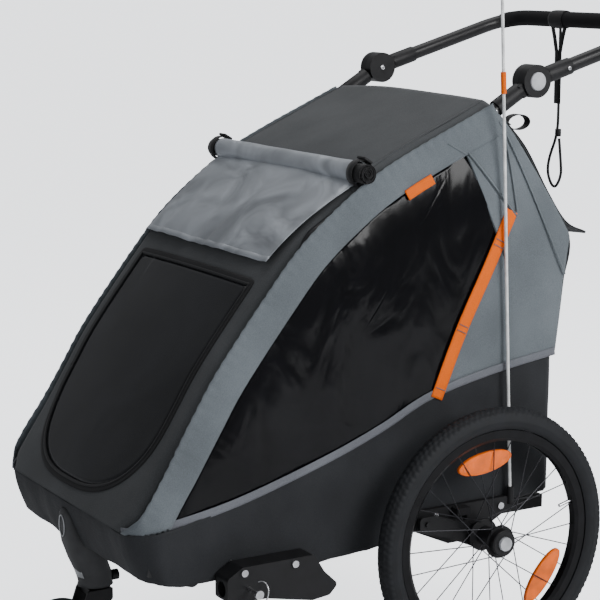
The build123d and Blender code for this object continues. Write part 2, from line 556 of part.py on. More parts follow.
def seat():
    """Bench cushion, folding seat back and the two harnesses."""
    y, z = SEAT_PIVOT
    half = SEAT_W / 2
    cushion = block((-half, half), (-270, y - 43), (CUSHION_Z - 40, CUSHION_Z))
    save("seat_cushion", fillet(cushion.edges(), 12))
    back = block((-half, half), (-14, 14), (22, SEAT_H))
    back = fillet(back.edges().filter_by(Axis.Y), 20)
    barrel = rod((-half, 0, 0), (half, 0, 0), 30)
    back = back + barrel + block((-half, half), (-10, 10), (10, 24))
    back -= rod((-half, 0, 0), (half, 0, 0), 20 + 2 * RUN)
    place = Pos(0, y, z) * Rot(-SEAT_TILT, 0, 0)
    save("seat_back", place * back)
    straps, buckles = [], []
    for middle in (-half / 2, half / 2):
        for dx in (-48, 48):
            lean = block((middle + dx - 12, middle + dx + 12), (-16.8, -14.3), (70, 320))
            straps.append(place * lean)
        buckles.append(block((middle - 22, middle + 22), (-90, -40), (CUSHION_Z + GAP, CUSHION_Z + 10)))
        for dx in (-150, 150):
            if abs(middle + dx) > half - 20:
                dx = dx * (half - 20 - abs(middle)) / 150
            x0, x1 = sorted((middle + dx, middle + (23 if dx > 0 else -23)))
            buckles.append(block((x0, x1), (-78, -54), (CUSHION_Z + GAP, CUSHION_Z + 3)))
    save("shoulder_straps", *straps)
    save("seat_buckles", *buckles)


def flag():
    """Safety flag: a thin pole beside the cabin with a pennant at its top."""
    save("flag_pole", rod(POLE_FOOT, POLE_END, POLE_D))
    face = make_face(Polyline((30, POLE_TOP - 6), (30, POLE_TOP - 176), (250, POLE_TOP - 91), close=True).edges())
    pennant = extrude(Plane.YZ.offset(POLE_X - 1) * face, amount=2)
    cut = rod(POLE_FOOT, POLE_END, POLE_D + 2 * FIT)
    save("flag_pennant", (pennant - cut).solids().sort_by(SortBy.VOLUME)[-1])


def brake():
    """Parking brake pedal on a pin behind the rear tube."""
    y = RAIL_REAR + 24
    pedal = rod((-49, y, 269), (49, y, 269), 17) + block((-40, 40), (y, y + 62), (263, 272))
    pedal -= rod((-50, y, 269), (50, y, 269), 8 + 2 * RUN)
    save("brake_pedal", pedal)


base_frame()
tub()
chassis_bolts = suspension()
wheels()
caster()
tow_coupling(chassis_bolts)
cover_frame()
cover()
uprights()
handlebar()
seat()
flag()
brake()
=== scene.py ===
# %% [markdown]
# A child bicycle trailer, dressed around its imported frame. The tubes, wheels and joints come
# from the frame as they are. Every cloth panel, strap, tyre and pad is modelled here, in
# metres, at the place where the frame holds a plain solid for it.

# %% Load the frame
import math
import bmesh
import bpy
from mathutils import Matrix, Vector, noise


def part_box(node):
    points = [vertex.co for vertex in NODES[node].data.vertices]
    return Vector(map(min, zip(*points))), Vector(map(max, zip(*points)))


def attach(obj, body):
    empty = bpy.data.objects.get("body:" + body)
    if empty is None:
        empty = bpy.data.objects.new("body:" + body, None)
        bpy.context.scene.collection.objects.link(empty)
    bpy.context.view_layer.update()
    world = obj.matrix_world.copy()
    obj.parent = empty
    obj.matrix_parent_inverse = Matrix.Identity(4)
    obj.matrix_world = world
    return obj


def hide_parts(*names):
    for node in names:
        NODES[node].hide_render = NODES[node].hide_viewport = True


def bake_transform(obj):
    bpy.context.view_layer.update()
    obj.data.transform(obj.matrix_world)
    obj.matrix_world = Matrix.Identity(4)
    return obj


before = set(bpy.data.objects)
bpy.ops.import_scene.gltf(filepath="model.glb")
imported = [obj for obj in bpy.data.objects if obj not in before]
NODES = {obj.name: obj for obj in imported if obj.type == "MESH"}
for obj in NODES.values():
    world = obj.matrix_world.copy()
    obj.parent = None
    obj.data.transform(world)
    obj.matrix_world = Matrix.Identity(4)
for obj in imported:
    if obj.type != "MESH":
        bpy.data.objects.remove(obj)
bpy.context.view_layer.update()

# %% [markdown]
# The cabin is drawn in its side view, as points of (y, z) counted from the main axle. The
# axle is found from the left tyre's box, so the drawing always lies on the frame.

# %% Driving sizes
low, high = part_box("tyre_left")
AXLE_Y = (low[1] + high[1]) / 2
WHEEL_X = (low[0] + high[0]) / 2
AXLE_Z = (low[2] + high[2]) / 2
TYRE_R = (high[2] - low[2]) / 2
HALF_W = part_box("tub_side_left")[1][0]
TUBE_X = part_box("front_cover")[1][0]
CREASE = [(-0.700, 0.336), (-0.652, 0.408), (-0.619, 0.457), (-0.574, 0.530), (-0.524, 0.608),
          (-0.428, 0.730), (-0.354, 0.815), (-0.270, 0.884), (-0.194, 0.934), (-0.110, 0.975),
          (-0.028, 1.011), (0.054, 1.047)]
SEAM = [(-0.700, 0.336), (-0.600, 0.352), (-0.480, 0.378), (-0.313, 0.428), (-0.200, 0.470),
        (-0.097, 0.516), (0.040, 0.548), (0.190, 0.571)]
REAR_EDGE = [(0.190, 0.571), (0.209, 0.700), (0.222, 0.796)]
BROW = [(0.222, 0.796), (0.150, 0.905), (0.054, 1.047)]
print("axle at y", round(AXLE_Y, 4), "wheels at x", round(WHEEL_X, 3), "tub half width", round(HALF_W, 3))


# %% [markdown]
# A smooth line through a few points makes every curved edge. It is a Catmull-Rom curve, which
# passes through its points, so the outline can be read straight from the list above.

# %% Smooth lines
def smooth_line(points, count):
    """count + 1 evenly spaced points on a smooth curve through the given ones."""
    pts = [Vector(p).to_3d() for p in points]
    pts = [2 * pts[0] - pts[1], *pts, 2 * pts[-1] - pts[-2]]
    fine = []
    for a, b, c, d in zip(pts, pts[1:], pts[2:], pts[3:]):
        for k in range(12):
            t = k / 12
            fine.append(0.5 * (2 * b + (c - a) * t + (2 * a - 5 * b + 4 * c - d) * t * t
                               + (3 * b - a - 3 * c + d) * t ** 3))
    fine.append(pts[-2])
    return even(fine, count)


def even(fine, count, closed=False):
    """The same line with count + 1 points, equally far apart along it."""
    pts = [Vector(p).to_3d() for p in fine]
    if closed:
        pts.append(pts[0])
    reach = [0.0]
    for a, b in zip(pts, pts[1:]):
        reach.append(reach[-1] + (b - a).length)
    out, k = [], 0
    for n in range(count + 1):
        want = reach[-1] * n / count
        while k < len(pts) - 2 and reach[k + 1] < want:
            k += 1
        span = reach[k + 1] - reach[k]
        out.append(pts[k].lerp(pts[k + 1], (want - reach[k]) / span if span else 0))
    return out


FINE_CREASE = smooth_line(CREASE, 200)
print("crease length", round(sum((b - a).length for a, b in zip(FINE_CREASE, FINE_CREASE[1:])), 3))


# %% [markdown]
# The cloth skin is two surfaces. The side skin stands a little inside the tub at the tubes and
# swells out to the tub's width lower down. The front and roof skin lies across the tubes, a
# touch proud in the middle, and rolls over at its edges. Every panel, window and strip is cut
# from one of these two, so neighbours always meet.

# %% The two skins
def nose_width(y):
    """Half the width of the tub's plan at y: it narrows in a curve at the nose."""
    into = max(0.0, -0.650 - y) / 0.050
    return HALF_W - 0.045 * min(into, 1.1) ** 2


def side_skin(p, side, lift=0.0):
    """A point of the side skin over (y, z), on side 1 or -1."""
    gap = min((p - q).length for q in FINE_CREASE[::4])
    swell = 1 - math.exp(-gap / 0.055)
    edge = min(TUBE_X + 0.006, nose_width(p.x) - 0.012)
    x = edge + (nose_width(p.x) - edge) * swell
    return Vector((side * (x + lift), p.x + AXLE_Y, p.y))


def top_skin(u, t, lift=0.0):
    """A point of the front and roof skin: u runs across from -1 to 1, t along the crease."""
    k = min(max(t, 0.0), 1.0) * (len(FINE_CREASE) - 1)
    i = min(int(k), len(FINE_CREASE) - 2)
    a, b = FINE_CREASE[i], FINE_CREASE[i + 1]
    p, run = a.lerp(b, k - i), (b - a).normalized()
    out = Vector((-run.y, run.x))
    half = min(TUBE_X + 0.006, nose_width(p.x) - 0.012)
    edge = max(0.0, abs(u) - 0.90) / 0.10
    proud = 0.010 * (1 - u * u) + 0.006 - 0.012 * edge ** 2 + lift
    return Vector((u * half, p.x + out.x * proud + AXLE_Y, p.y + out.y * proud))


# %% [markdown]
# Four helpers turn the skins into pieces. Each one takes a plain grid from
# bmesh.ops.create_grid and moves its points onto a skin, because a grid keeps even quads that
# shade smoothly. A ring joins two closed outlines, and a patch closes one to its middle.

# %% Sheet helpers
def finish_mesh(bm, name, material, smooth=True, weld=0.00005):
    """Turn a bmesh into a shaded object with its material."""
    bmesh.ops.remove_doubles(bm, verts=bm.verts, dist=weld)
    bmesh.ops.recalc_face_normals(bm, faces=bm.faces)
    mesh = bpy.data.meshes.new(name)
    bm.to_mesh(mesh)
    bm.free()
    obj = bpy.data.objects.new(name, mesh)
    bpy.context.scene.collection.objects.link(obj)
    for face in mesh.polygons:
        face.use_smooth = smooth
    if material:
        mesh.materials.append(material)
    return obj


def grid_sheet(name, across, along, place, material):
    """A grid of across by along quads whose point (a, b), both 0 to 1, goes to place(a, b)."""
    bm = bmesh.new()
    bmesh.ops.create_grid(bm, x_segments=across, y_segments=along, size=0.5)
    for vert in bm.verts:
        vert.co = place(vert.co.x + 0.5, vert.co.y + 0.5)
    return finish_mesh(bm, name, material)


def pick(line, share):
    """A point of an evenly spaced line at a share of its length."""
    k = min(max(share, 0.0), 1.0) * (len(line) - 1)
    i = min(int(k), len(line) - 2)
    return line[i].lerp(line[i + 1], k - i)


def ring_sheet(name, outer, inner, place, material, across=10, count=160):
    """Cloth between two closed outlines that are drawn on a skin."""
    outer, inner = even(outer, count, True), even(inner, count, True)
    return grid_sheet(name, count, across,
                      lambda a, b: place(pick(inner, a).lerp(pick(outer, a), b)), material)


def patch_sheet(name, outline, place, material, across=24, count=160):
    """Cloth or film inside one closed outline."""
    loop = even(outline, count, True)
    middle = sum(loop[:-1], Vector()) / count
    return grid_sheet(name, count, across,
                      lambda a, b: place(middle.lerp(pick(loop, a), max(b, 0.0))), material)


def ribbon(name, line, width, place, material, count=120, across=4, offset=0.0):
    """A strip that follows a line on a skin; offset moves it sideways."""
    def at(a, b):
        here, ahead = pick(line, a), pick(line, min(a + 0.01, 1.0))
        back = pick(line, max(a - 0.01, 0.0))
        run = (ahead - back).normalized()
        return place(here + Vector((-run.y, run.x, 0)) * (offset + width * (b - 0.5)))
    return grid_sheet(name, count, across, at, material)


def thicken(obj, thickness, offset=-1.0):
    """Give a sheet its real thickness, and apply it so that the mesh is final."""
    mod = obj.modifiers.new("thickness", "SOLIDIFY")
    mod.thickness, mod.offset, mod.use_even_offset = thickness, offset, False
    bake(obj)
    return obj


def bake(obj):
    """Apply all modifiers of a piece to its mesh."""
    bpy.context.view_layer.update()
    graph = bpy.context.evaluated_depsgraph_get()
    mesh = bpy.data.meshes.new_from_object(obj.evaluated_get(graph))
    obj.modifiers.clear()
    obj.data = mesh
    return obj


def joined(name, objects):
    """Several meshes made one piece."""
    bm = bmesh.new()
    materials = []
    for obj in objects:
        start = len(bm.faces)
        bm.from_mesh(obj.data)
        bm.faces.ensure_lookup_table()
        for face in bm.faces[start:]:
            material = obj.data.materials[face.material_index]
            if material not in materials:
                materials.append(material)
            face.material_index = materials.index(material)
        bpy.data.objects.remove(obj)
    mesh = bpy.data.meshes.new(name)
    bm.to_mesh(mesh)
    bm.free()
    for material in materials:
        mesh.materials.append(material)
    obj = bpy.data.objects.new(name, mesh)
    bpy.context.scene.collection.objects.link(obj)
    return obj


def ruffle(obj, size, height, seed=0.0, mask=None):
    """Push a mesh's points along their normals by smooth noise, like soft folds."""
    for vert in obj.data.vertices:
        p = vert.co
        push = noise.noise(Vector((p.x / size[0] + seed, p.y / size[1], p.z / size[2])))
        vert.co = p + vert.normal * push * height * (mask(p) if mask else 1.0)
    obj.data.update()
    return obj


# %% [markdown]
# Materials. Woven cloth is two crossed wave patterns at thread scale in its bump, broken up by
# noise, with a slow change of shade, because dyed polyester never reads as one flat colour.
# All patterns sit on Object coordinates, in metres.

# %% Material helpers
def new_material(name, color, rough, metal=0.0, **sockets):
    """A Principled material; sockets sets further inputs by their names."""
    mat = bpy.data.materials.new(name)
    mat.use_nodes = True
    shader = mat.node_tree.nodes["Principled BSDF"]
    shader.inputs["Base Color"].default_value = (*color, 1.0)
    shader.inputs["Roughness"].default_value = rough
    shader.inputs["Metallic"].default_value = metal
    for key, value in sockets.items():
        shader.inputs[key.replace("_", " ")].default_value = value
    mat.diffuse_color = (*color, 1.0)
    return mat, mat.node_tree.nodes, mat.node_tree.links, shader


def pattern(nodes, links, kind, scale, **values):
    """A texture node on Object coordinates, with its settings."""
    place = nodes.new("ShaderNodeTexCoord")
    turn = nodes.new("ShaderNodeMapping")
    turn.inputs["Scale"].default_value = scale if hasattr(scale, "__len__") else (scale,) * 3
    links.new(place.outputs["Object"], turn.inputs["Vector"])
    node = nodes.new(kind)
    links.new(turn.outputs["Vector"], node.inputs["Vector"])
    values = {"Scale": 1.0, **values}
    for key, value in values.items():
        if key in node.inputs:
            node.inputs[key].default_value = value
        else:
            setattr(node, key, value)
    return node


def shade(nodes, links, shader, source, dark, light, low=0.3, high=0.7):
    """Vary the colour between two shades by a pattern."""
    ramp = nodes.new("ShaderNodeValToRGB")
    ramp.color_ramp.elements[0].position, ramp.color_ramp.elements[1].position = low, high
    ramp.color_ramp.elements[0].color = (*dark, 1)
    ramp.color_ramp.elements[1].color = (*light, 1)
    links.new(source, ramp.inputs["Fac"])
    links.new(ramp.outputs["Color"], shader.inputs["Base Color"])


def bump(nodes, links, shader, layers):
    """Stack bumps: each layer is (height socket, strength, distance in metres)."""
    last = None
    for source, strength, distance in layers:
        node = nodes.new("ShaderNodeBump")
        node.inputs["Strength"].default_value = strength
        node.inputs["Distance"].default_value = distance
        links.new(source, node.inputs["Height"])
        if last:
            links.new(last.outputs["Normal"], node.inputs["Normal"])
        last = node
    links.new(last.outputs["Normal"], shader.inputs["Normal"])


def rough_range(nodes, links, shader, source, least, most):
    """Let a pattern move the roughness between two values."""
    span = nodes.new("ShaderNodeMapRange")
    span.inputs["To Min"].default_value, span.inputs["To Max"].default_value = least, most
    links.new(source, span.inputs["Value"])
    links.new(span.outputs["Result"], shader.inputs["Roughness"])


def woven(name, color, vary=0.25, thread=0.0011, rough=0.86, sheen=0.25, fold=0.0, crease=0.35):
    """Woven polyester cloth: thread bump, melange flecks and slow shading."""
    mat, nodes, links, shader = new_material(name, color, rough, Sheen_Weight=sheen, Sheen_Roughness=0.45,
                                              Specular_IOR_Level=0.22)
    turns = 1.0 / thread / 3.14159
    warp = pattern(nodes, links, "ShaderNodeTexWave", (1, 1, 1), Scale=turns, Distortion=1.2,
                   bands_direction="Y")
    weft = pattern(nodes, links, "ShaderNodeTexWave", (1, 1, 1), Scale=turns, Distortion=1.2,
                   bands_direction="Z")
    fleck = pattern(nodes, links, "ShaderNodeTexNoise", 620.0, Detail=2.0)
    slow = pattern(nodes, links, "ShaderNodeTexNoise", 7.0, Detail=3.0)
    both = nodes.new("ShaderNodeMath")
    both.operation = "ADD"
    links.new(fleck.outputs["Fac"], both.inputs[0])
    links.new(slow.outputs["Fac"], both.inputs[1])
    half = nodes.new("ShaderNodeMath")
    half.operation = "MULTIPLY"
    half.inputs[1].default_value = 0.5
    links.new(both.outputs[0], half.inputs[0])
    dark = tuple(c * (1 - vary) for c in color)
    light = tuple(min(1, c * (1 + vary)) for c in color)
    shade(nodes, links, shader, half.outputs[0], dark, light, 0.36, 0.64)
    layers = [(slow.outputs["Fac"], crease, 0.006 + fold), (warp.outputs["Fac"], 0.35, 0.0003),
              (weft.outputs["Fac"], 0.35, 0.0003), (fleck.outputs["Fac"], 0.2, 0.0004)]
    bump(nodes, links, shader, layers)
    return mat


def moulded(name, color, rough=0.5, grain=1400.0, depth=0.00015, metal=0.0, coat=0.0, shine=0.28):
    """Moulded plastic or powder-coated metal with a fine grain and handled patches."""
    mat, nodes, links, shader = new_material(name, color, rough, metal, Coat_Weight=coat,
                                             Specular_IOR_Level=shine)
    grit = pattern(nodes, links, "ShaderNodeTexNoise", grain, Detail=3.0)
    slow = pattern(nodes, links, "ShaderNodeTexNoise", 40.0, Detail=5.0)
    shade(nodes, links, shader, slow.outputs["Fac"], tuple(c * 0.8 for c in color),
          tuple(min(1, c * 1.25) for c in color))
    rough_range(nodes, links, shader, slow.outputs["Fac"], rough - 0.08, rough + 0.1)
    bump(nodes, links, shader, [(grit.outputs["Fac"], 0.35, depth)])
    return mat


def film(name, color, alpha, rough=0.12, wrinkle=0.5, size=7.0):
    """Clear window film with a dark tint: soft wrinkles make its reflections wander."""
    mat, nodes, links, shader = new_material(name, color, rough, Alpha=alpha, Specular_IOR_Level=0.2)
    slow = pattern(nodes, links, "ShaderNodeTexNoise", (size, size * 1.6, size * 0.8), Detail=2.5,
                   Distortion=1.4)
    fine = pattern(nodes, links, "ShaderNodeTexNoise", (size * 4, size * 6, size * 3), Detail=2.0,
                   Distortion=0.6)
    shade(nodes, links, shader, slow.outputs["Fac"], tuple(c * 0.7 for c in color),
          tuple(c * 1.4 for c in color))
    bump(nodes, links, shader, [(slow.outputs["Fac"], wrinkle, 0.012),
                                (fine.outputs["Fac"], wrinkle * 0.5, 0.002)])
    return mat


# %% [markdown]
# The finishes of this trailer. The cabin cloth comes in a dark grey, a lighter grey for the
# side bands, and black for the tub. The orange of the corner straps returns in the pennant,
# the pole's joint and the wheel reflectors.

# %% Finishes
DARK_CLOTH = woven("cloth_dark_grey", (0.052, 0.055, 0.058), 0.25, 0.0012, 0.86, 0.08)
# The roof's grey is the front cover's dark grey made a little lighter: painted light on the top of the cabin.
ROOF_CLOTH_PAINTED_LIGHT = woven("cloth_grey_painted_roof_light", (0.060, 0.064, 0.068), 0.25, 0.0012, 0.86, 0.08)
LIGHT_CLOTH = woven("cloth_light_grey", (0.126, 0.144, 0.158), 0.22, 0.0013, 0.86, 0.08)
BLACK_CLOTH = woven("cloth_black", (0.0185, 0.0198, 0.0225), 0.3, 0.0014, 0.7, 0.06, 0.010, 0.5)
PIPING = woven("cloth_piping", (0.135, 0.142, 0.160), 0.2, 0.0010, 0.8, 0.05)
ORANGE_CLOTH = woven("webbing_orange", (0.80, 0.130, 0.0), 0.08, 0.0016, 0.75, 0.0, 0.0, 0.2)
WEBBING = woven("webbing_black", (0.014, 0.014, 0.015), 0.25, 0.0016, 0.7, 0.1)
BINDING = woven("binding_black", (0.010, 0.010, 0.011), 0.2, 0.0009, 0.8, 0.05)
SEAT_CLOTH = woven("cloth_seat", (0.055, 0.057, 0.062), 0.25, 0.0014)
LINING = woven("cloth_lining", (0.03, 0.031, 0.034), 0.25, 0.0014)
MESH_CLOTH = woven("cloth_mesh", (0.012, 0.012, 0.013), 0.2, 0.0022, 0.8, 0.1)
PENNANT = woven("nylon_orange", (0.80, 0.120, 0.0), 0.08, 0.0008, 0.7, 0.0)
SIDE_FILM = film("film_side", (0.0022, 0.0022, 0.0030), 0.96, 0.16, 0.45, 6.0)
FRONT_FILM = film("film_front", (0.0095, 0.0100, 0.0115), 0.94, 0.24, 0.14, 4.0)
SILVER = film("cloth_silver", (0.315, 0.335, 0.360), 1.0, 0.42, 0.5, 7.0)
SILVER.node_tree.nodes["Principled BSDF"].inputs["Metallic"].default_value = 0.45
TUBE_COAT = moulded("coat_black_satin", (0.009, 0.009, 0.010), 0.38, 1800.0, 0.00008, 0.0, 0.08)
PLASTIC = moulded("plastic_black", (0.008, 0.008, 0.009), 0.48)
PLASTIC_DARK = moulded("plastic_dark_grey", (0.040, 0.041, 0.043), 0.5)
PLASTIC_GREY = moulded("plastic_light_grey", (0.42, 0.43, 0.45), 0.42)
FOAM = moulded("grip_foam", (0.007, 0.007, 0.008), 0.85, 700.0, 0.0006)
TYRE = moulded("tyre_rubber", (0.011, 0.012, 0.014), 0.68, 500.0, 0.0003)
RIM = moulded("rim_black", (0.010, 0.010, 0.011), 0.3, 2500.0, 0.00003, 0.6)
STEEL = moulded("steel_bright", (0.62, 0.62, 0.64), 0.26, 900.0, 0.00005, 1.0)
SPOKE = moulded("spoke_dark", (0.05, 0.05, 0.055), 0.3, 900.0, 0.00003, 0.9)
LENS = moulded("reflector_orange", (0.80, 0.130, 0.0), 0.2, 240.0, 0.0006, 0.0, 0.4)
WHITE = moulded("pole_white", (0.74, 0.75, 0.75), 0.35)
MARK = moulded("mark_silver", (0.36, 0.37, 0.38), 0.35, 900.0, 0.00005, 0.5)
print("finishes", len(bpy.data.materials))

# %% [markdown]
# Each frame part that stays visible gets the finish of its real counterpart.

# %% Dress the frame parts
CAD_FINISH = {
    TUBE_COAT: ["side_rails", "cross_tubes", "side_tubes", "roof_cross_tubes", "handlebar", "upright_lower"],
    PLASTIC: ["tow_socket", "handle_hubs", "caster_fork", "lock_knob", "brake_pedal", "seat_buckles",
              "hub_left", "hub_right", "suspension_brackets", "swing_arm_left", "swing_arm_right"],
    FOAM: ["handle_grip", "bump_stops"],
    PLASTIC_DARK: ["caster_wheel"],
    PLASTIC_GREY: ["handle_button_left", "handle_button_right", "hub_button_left", "hub_button_right"],
    STEEL: ["chassis_bolts", "tow_pin", "upright_middle", "upright_upper"],
    SPOKE: ["spokes_left", "spokes_right"],
    RIM: ["rim_left", "rim_right"],
    TYRE: ["caster_tyre"],
    WHITE: ["flag_pole"],
    LINING: ["floor_panel"],
}
for material, names in CAD_FINISH.items():
    for name in names:
        NODES[name].data.materials.clear()
        NODES[name].data.materials.append(material)
print("dressed", sum(len(names) for names in CAD_FINISH.values()), "frame parts")


# %% [markdown]
# The front cover is stretched over the sloping tubes, with a big U-shaped zip opening. It is
# drawn flat, as (x across, s along the crease) in metres, and laid on the front skin. The
# window is the same U, filled with tinted film, and it rides on the body that lifts.

# %% Front cover and window
LENGTH = sum((b - a).length for a, b in zip(FINE_CREASE, FINE_CREASE[1:]))
FRONT_TOP = 0.70 * LENGTH
WINDOW_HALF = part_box("front_window")[1][0]
WINDOW_LOW, WINDOW_HIGH, WINDOW_BEND = 0.040, 0.488, 0.190
WINDOW_SQUARE = 2.7


def on_front(p, lift=0.0):
    """Lay a flat (x, s) point on the front skin."""
    return top_skin(p.x / (TUBE_X + 0.006), p.y / LENGTH, lift)


def window_outline(grow=0.0):
    """The U of the zip: round at the bottom, nearly square at the top."""
    half, turn = WINDOW_HALF + grow, WINDOW_BEND + grow
    middle = WINDOW_LOW + WINDOW_BEND
    points = []
    for k in range(41):
        angle = math.pi + math.pi * k / 40
        across, down = math.cos(angle), abs(math.sin(angle))
        across = math.copysign(abs(across) ** (2 / WINDOW_SQUARE), across)
        points.append(Vector((half * across, middle - turn * down ** (2 / WINDOW_SQUARE))))
    points.append(Vector((half, WINDOW_HIGH + grow)))
    points.append(Vector((-half, WINDOW_HIGH + grow)))
    return points


def box_outline(half, low_s, high_s):
    """A rectangle that starts at the same side as the window outline."""
    middle = WINDOW_LOW + WINDOW_BEND
    return [Vector((-half, middle)), Vector((-half, low_s)), Vector((half, low_s)), Vector((half, middle)),
            Vector((half, high_s)), Vector((-half, high_s))]


cover = ring_sheet("front_cover_cloth", box_outline(TUBE_X + 0.006, 0.0, FRONT_TOP), window_outline(0.002),
                   on_front, DARK_CLOTH, 14, 240)
thicken(cover, 0.0014)
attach(cover, "cover_frame")
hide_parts("front_cover")

window = patch_sheet("front_window_film", window_outline(-0.0012), lambda p: on_front(p, 0.0005), FRONT_FILM)
thicken(window, 0.0008)
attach(window, "window")
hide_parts("front_window")

zip_line = even(window_outline(0.006), 260, True)
tape = ribbon("window_zip_tape", zip_line, 0.015, lambda p: on_front(p, 0.0016), BINDING, 260, 4)
thicken(tape, 0.0012)
teeth = ribbon("window_zip_teeth", zip_line, 0.004, lambda p: on_front(p, 0.0026), PLASTIC, 260, 2, 0.004)
thicken(teeth, 0.0012)
for piece in (tape, teeth):
    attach(piece, "cover_frame")
print("front cover", len(cover.data.polygons), "faces, window", len(window.data.polygons))

# %% [markdown]
# The roof is one tight panel from the rolled sun cover to the rear of the cabin. Its two side
# seams are felled, which shows as a fine raised line, so each seam gets its own narrow strip.

# %% Roof
# The roof cloth, its eave and its seams are painted a little lighter than the front cover, as painted light on
# the top.
roof = grid_sheet("roof_cloth", 60, 40, lambda a, b: top_skin(2 * a - 1, 0.69 + 0.31 * b), ROOF_CLOTH_PAINTED_LIGHT)
ruffle(roof, (0.16, 0.12, 0.2), 0.002, 3.0)
thicken(roof, 0.0014)
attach(roof, "cover_frame")
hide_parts("roof_panel")


def roof_seam(name, share):
    """A felled seam across or along the roof."""
    line = [Vector((share * TUBE_X, s * LENGTH)) for s in (0.70, 0.80, 0.90, 1.0)]
    strip = ribbon(name, even(line, 40), 0.006, lambda p: on_front(p, 0.0012), ROOF_CLOTH_PAINTED_LIGHT, 60, 2)
    thicken(strip, 0.0010)
    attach(strip, "cover_frame")


eave = grid_sheet("roof_eave", 40, 6, lambda a, b: Vector((0.252 * (2 * a - 1), 0.050 + 0.064 * b + AXLE_Y, (
    1.048 - 0.041 * b + 0.006 * (1 - (2 * a - 1) ** 2)))), ROOF_CLOTH_PAINTED_LIGHT)
thicken(eave, 0.0014)
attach(eave, "cover_frame")
roof_seam("roof_seam_left", 0.93)
roof_seam("roof_seam_right", -0.93)
print("roof", len(roof.data.polygons), "faces")

# %% [markdown]
# The cabin's side, drawn in side view. The light band covers the tube, the film window fills
# the middle, and the rear panel closes it behind the orange strap. The grey piping hides the
# zip between this cover and the tub.

# %% Side panels
BAND = 0.056
FINE_SEAM = smooth_line(SEAM, 120)
FINE_BROW = smooth_line(BROW, 30)
FINE_REAR = smooth_line(REAR_EDGE, 30)
STRAP_TOP, STRAP_LOW = Vector((0.079, 0.846, 0)), Vector((-0.097, 0.522, 0))
FILM_TOP = Vector((-0.022, 0.972, 0))


def inset(share, depth):
    """A point inside the crease by a depth, in side view."""
    a, b = pick(FINE_CREASE, max(share - 0.01, 0)), pick(FINE_CREASE, min(share + 0.01, 1))
    run = (b - a).normalized()
    return pick(FINE_CREASE, share) + Vector((run.y, -run.x, 0)) * depth


def above_seam(share, rise=0.006):
    """A point just above the tub's top edge."""
    return pick(FINE_SEAM, share) + Vector((0, rise, 0))


def band_lift(p):
    """How far the band stands off the skin: over the pivot's bump, but tucked in below the seam."""
    seam_height = min(FINE_SEAM, key=lambda q: abs(q.x - p.x)).y
    if p.y < seam_height - 0.004:
        return -0.012
    return 0.0035 + 0.009 * math.exp(-((p.x + 0.665) / 0.045) ** 2)


SEAM_SPLIT = 0.70
SEAM_LINES = [((-0.052, 0.982), (-0.018, 0.962)), ((-0.012, 0.964), (0.092, 0.842)),
              ((0.060, 1.018), (0.209, 0.722)), ((0.066, 1.010), (0.094, 0.850))]
film_loop = [inset(0.075 + 0.80 * k / 40, BAND - 0.002) for k in range(41)]
film_loop += [FILM_TOP, STRAP_TOP, above_seam(SEAM_SPLIT, 0.004)]
film_loop += [above_seam(SEAM_SPLIT * (1 - k / 24) + 0.085 * k / 24, 0.004) for k in range(1, 25)]
rear_loop = [FILM_TOP, inset(0.93, 0.03), inset(0.975, 0.004), *FINE_BROW[::-1][2:], *FINE_REAR[::-1][1:]]
rear_loop += [above_seam(1 - (1 - SEAM_SPLIT) * k / 12, 0.003) for k in range(1, 13)]
rear_loop += [STRAP_LOW.lerp(STRAP_TOP, 0.5), STRAP_TOP]
for name, side in (("left", 1), ("right", -1)):
    band = ribbon(f"side_band_{name}", FINE_CREASE, BAND,
                  lambda p, s=side: side_skin(p, s, band_lift(p)),
                  LIGHT_CLOTH, 160, 8, -BAND / 2 + 0.004)
    rear = patch_sheet(f"side_rear_{name}", rear_loop, lambda p, s=side: side_skin(p, s, 0.0), LIGHT_CLOTH)
    ruffle(rear, (0.3, 0.13, 0.16), 0.0035, 1.0 + side)
    pane = patch_sheet(f"side_film_{name}", film_loop, lambda p, s=side: side_skin(p, s, -0.001), SIDE_FILM,
                       34, 220)
    ruffle(pane, (0.3, 0.09, 0.16), 0.004, 5.0 + side)
    piping = ribbon(f"side_piping_{name}", FINE_SEAM, 0.015, lambda p, s=side: side_skin(p, s, 0.003),
                    PIPING, 160, 4, 0.004)
    seams = [ribbon(f"seam_{name}_{k}", even([Vector((*a, 0)), Vector((*b, 0))], 30), 0.0035,
                    lambda p, s=side: side_skin(p, s, 0.0042), LIGHT_CLOTH, 40, 2)
             for k, (a, b) in enumerate(SEAM_LINES)]
    sewn = thicken(joined(f"side_seams_{name}", seams), 0.0008)
    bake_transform(sewn)
    for piece, slot in ((band, "light_fabric"), (rear, "light_fabric"), (pane, "window_film"),
                        (piping, "light_fabric")):
        thicken(piece, 0.0014)
    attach(band, "cover_frame")
    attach(piping, "chassis")
    for piece in (rear, pane):
        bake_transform(piece)
    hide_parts(f"side_panel_{name}")
    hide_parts(f"side_window_{name}")
print("side film", len(pane.data.polygons), "faces a side")


# %% [markdown]
# The tub is one bag of coated cloth, hung inside its seam and pulled under the base rails. A
# grid goes once round its plan and from hem to seam, then noise adds the slack folds that run
# down from the seam.

# %% Tub
HEM = smooth_line([(-0.702, 0.252), (-0.660, 0.246), (-0.600, 0.241), (-0.509, 0.240), (-0.347, 0.238),
                   (-0.205, 0.251), (-0.060, 0.274), (0.079, 0.295), (0.186, 0.300)], 120)
TUB_REAR = 0.188
NOSE_Y = -0.700


def height_at(line, y):
    """The height of a side-view line at y."""
    best = min(range(len(line)), key=lambda k: abs(line[k].x - y))
    return line[best].y


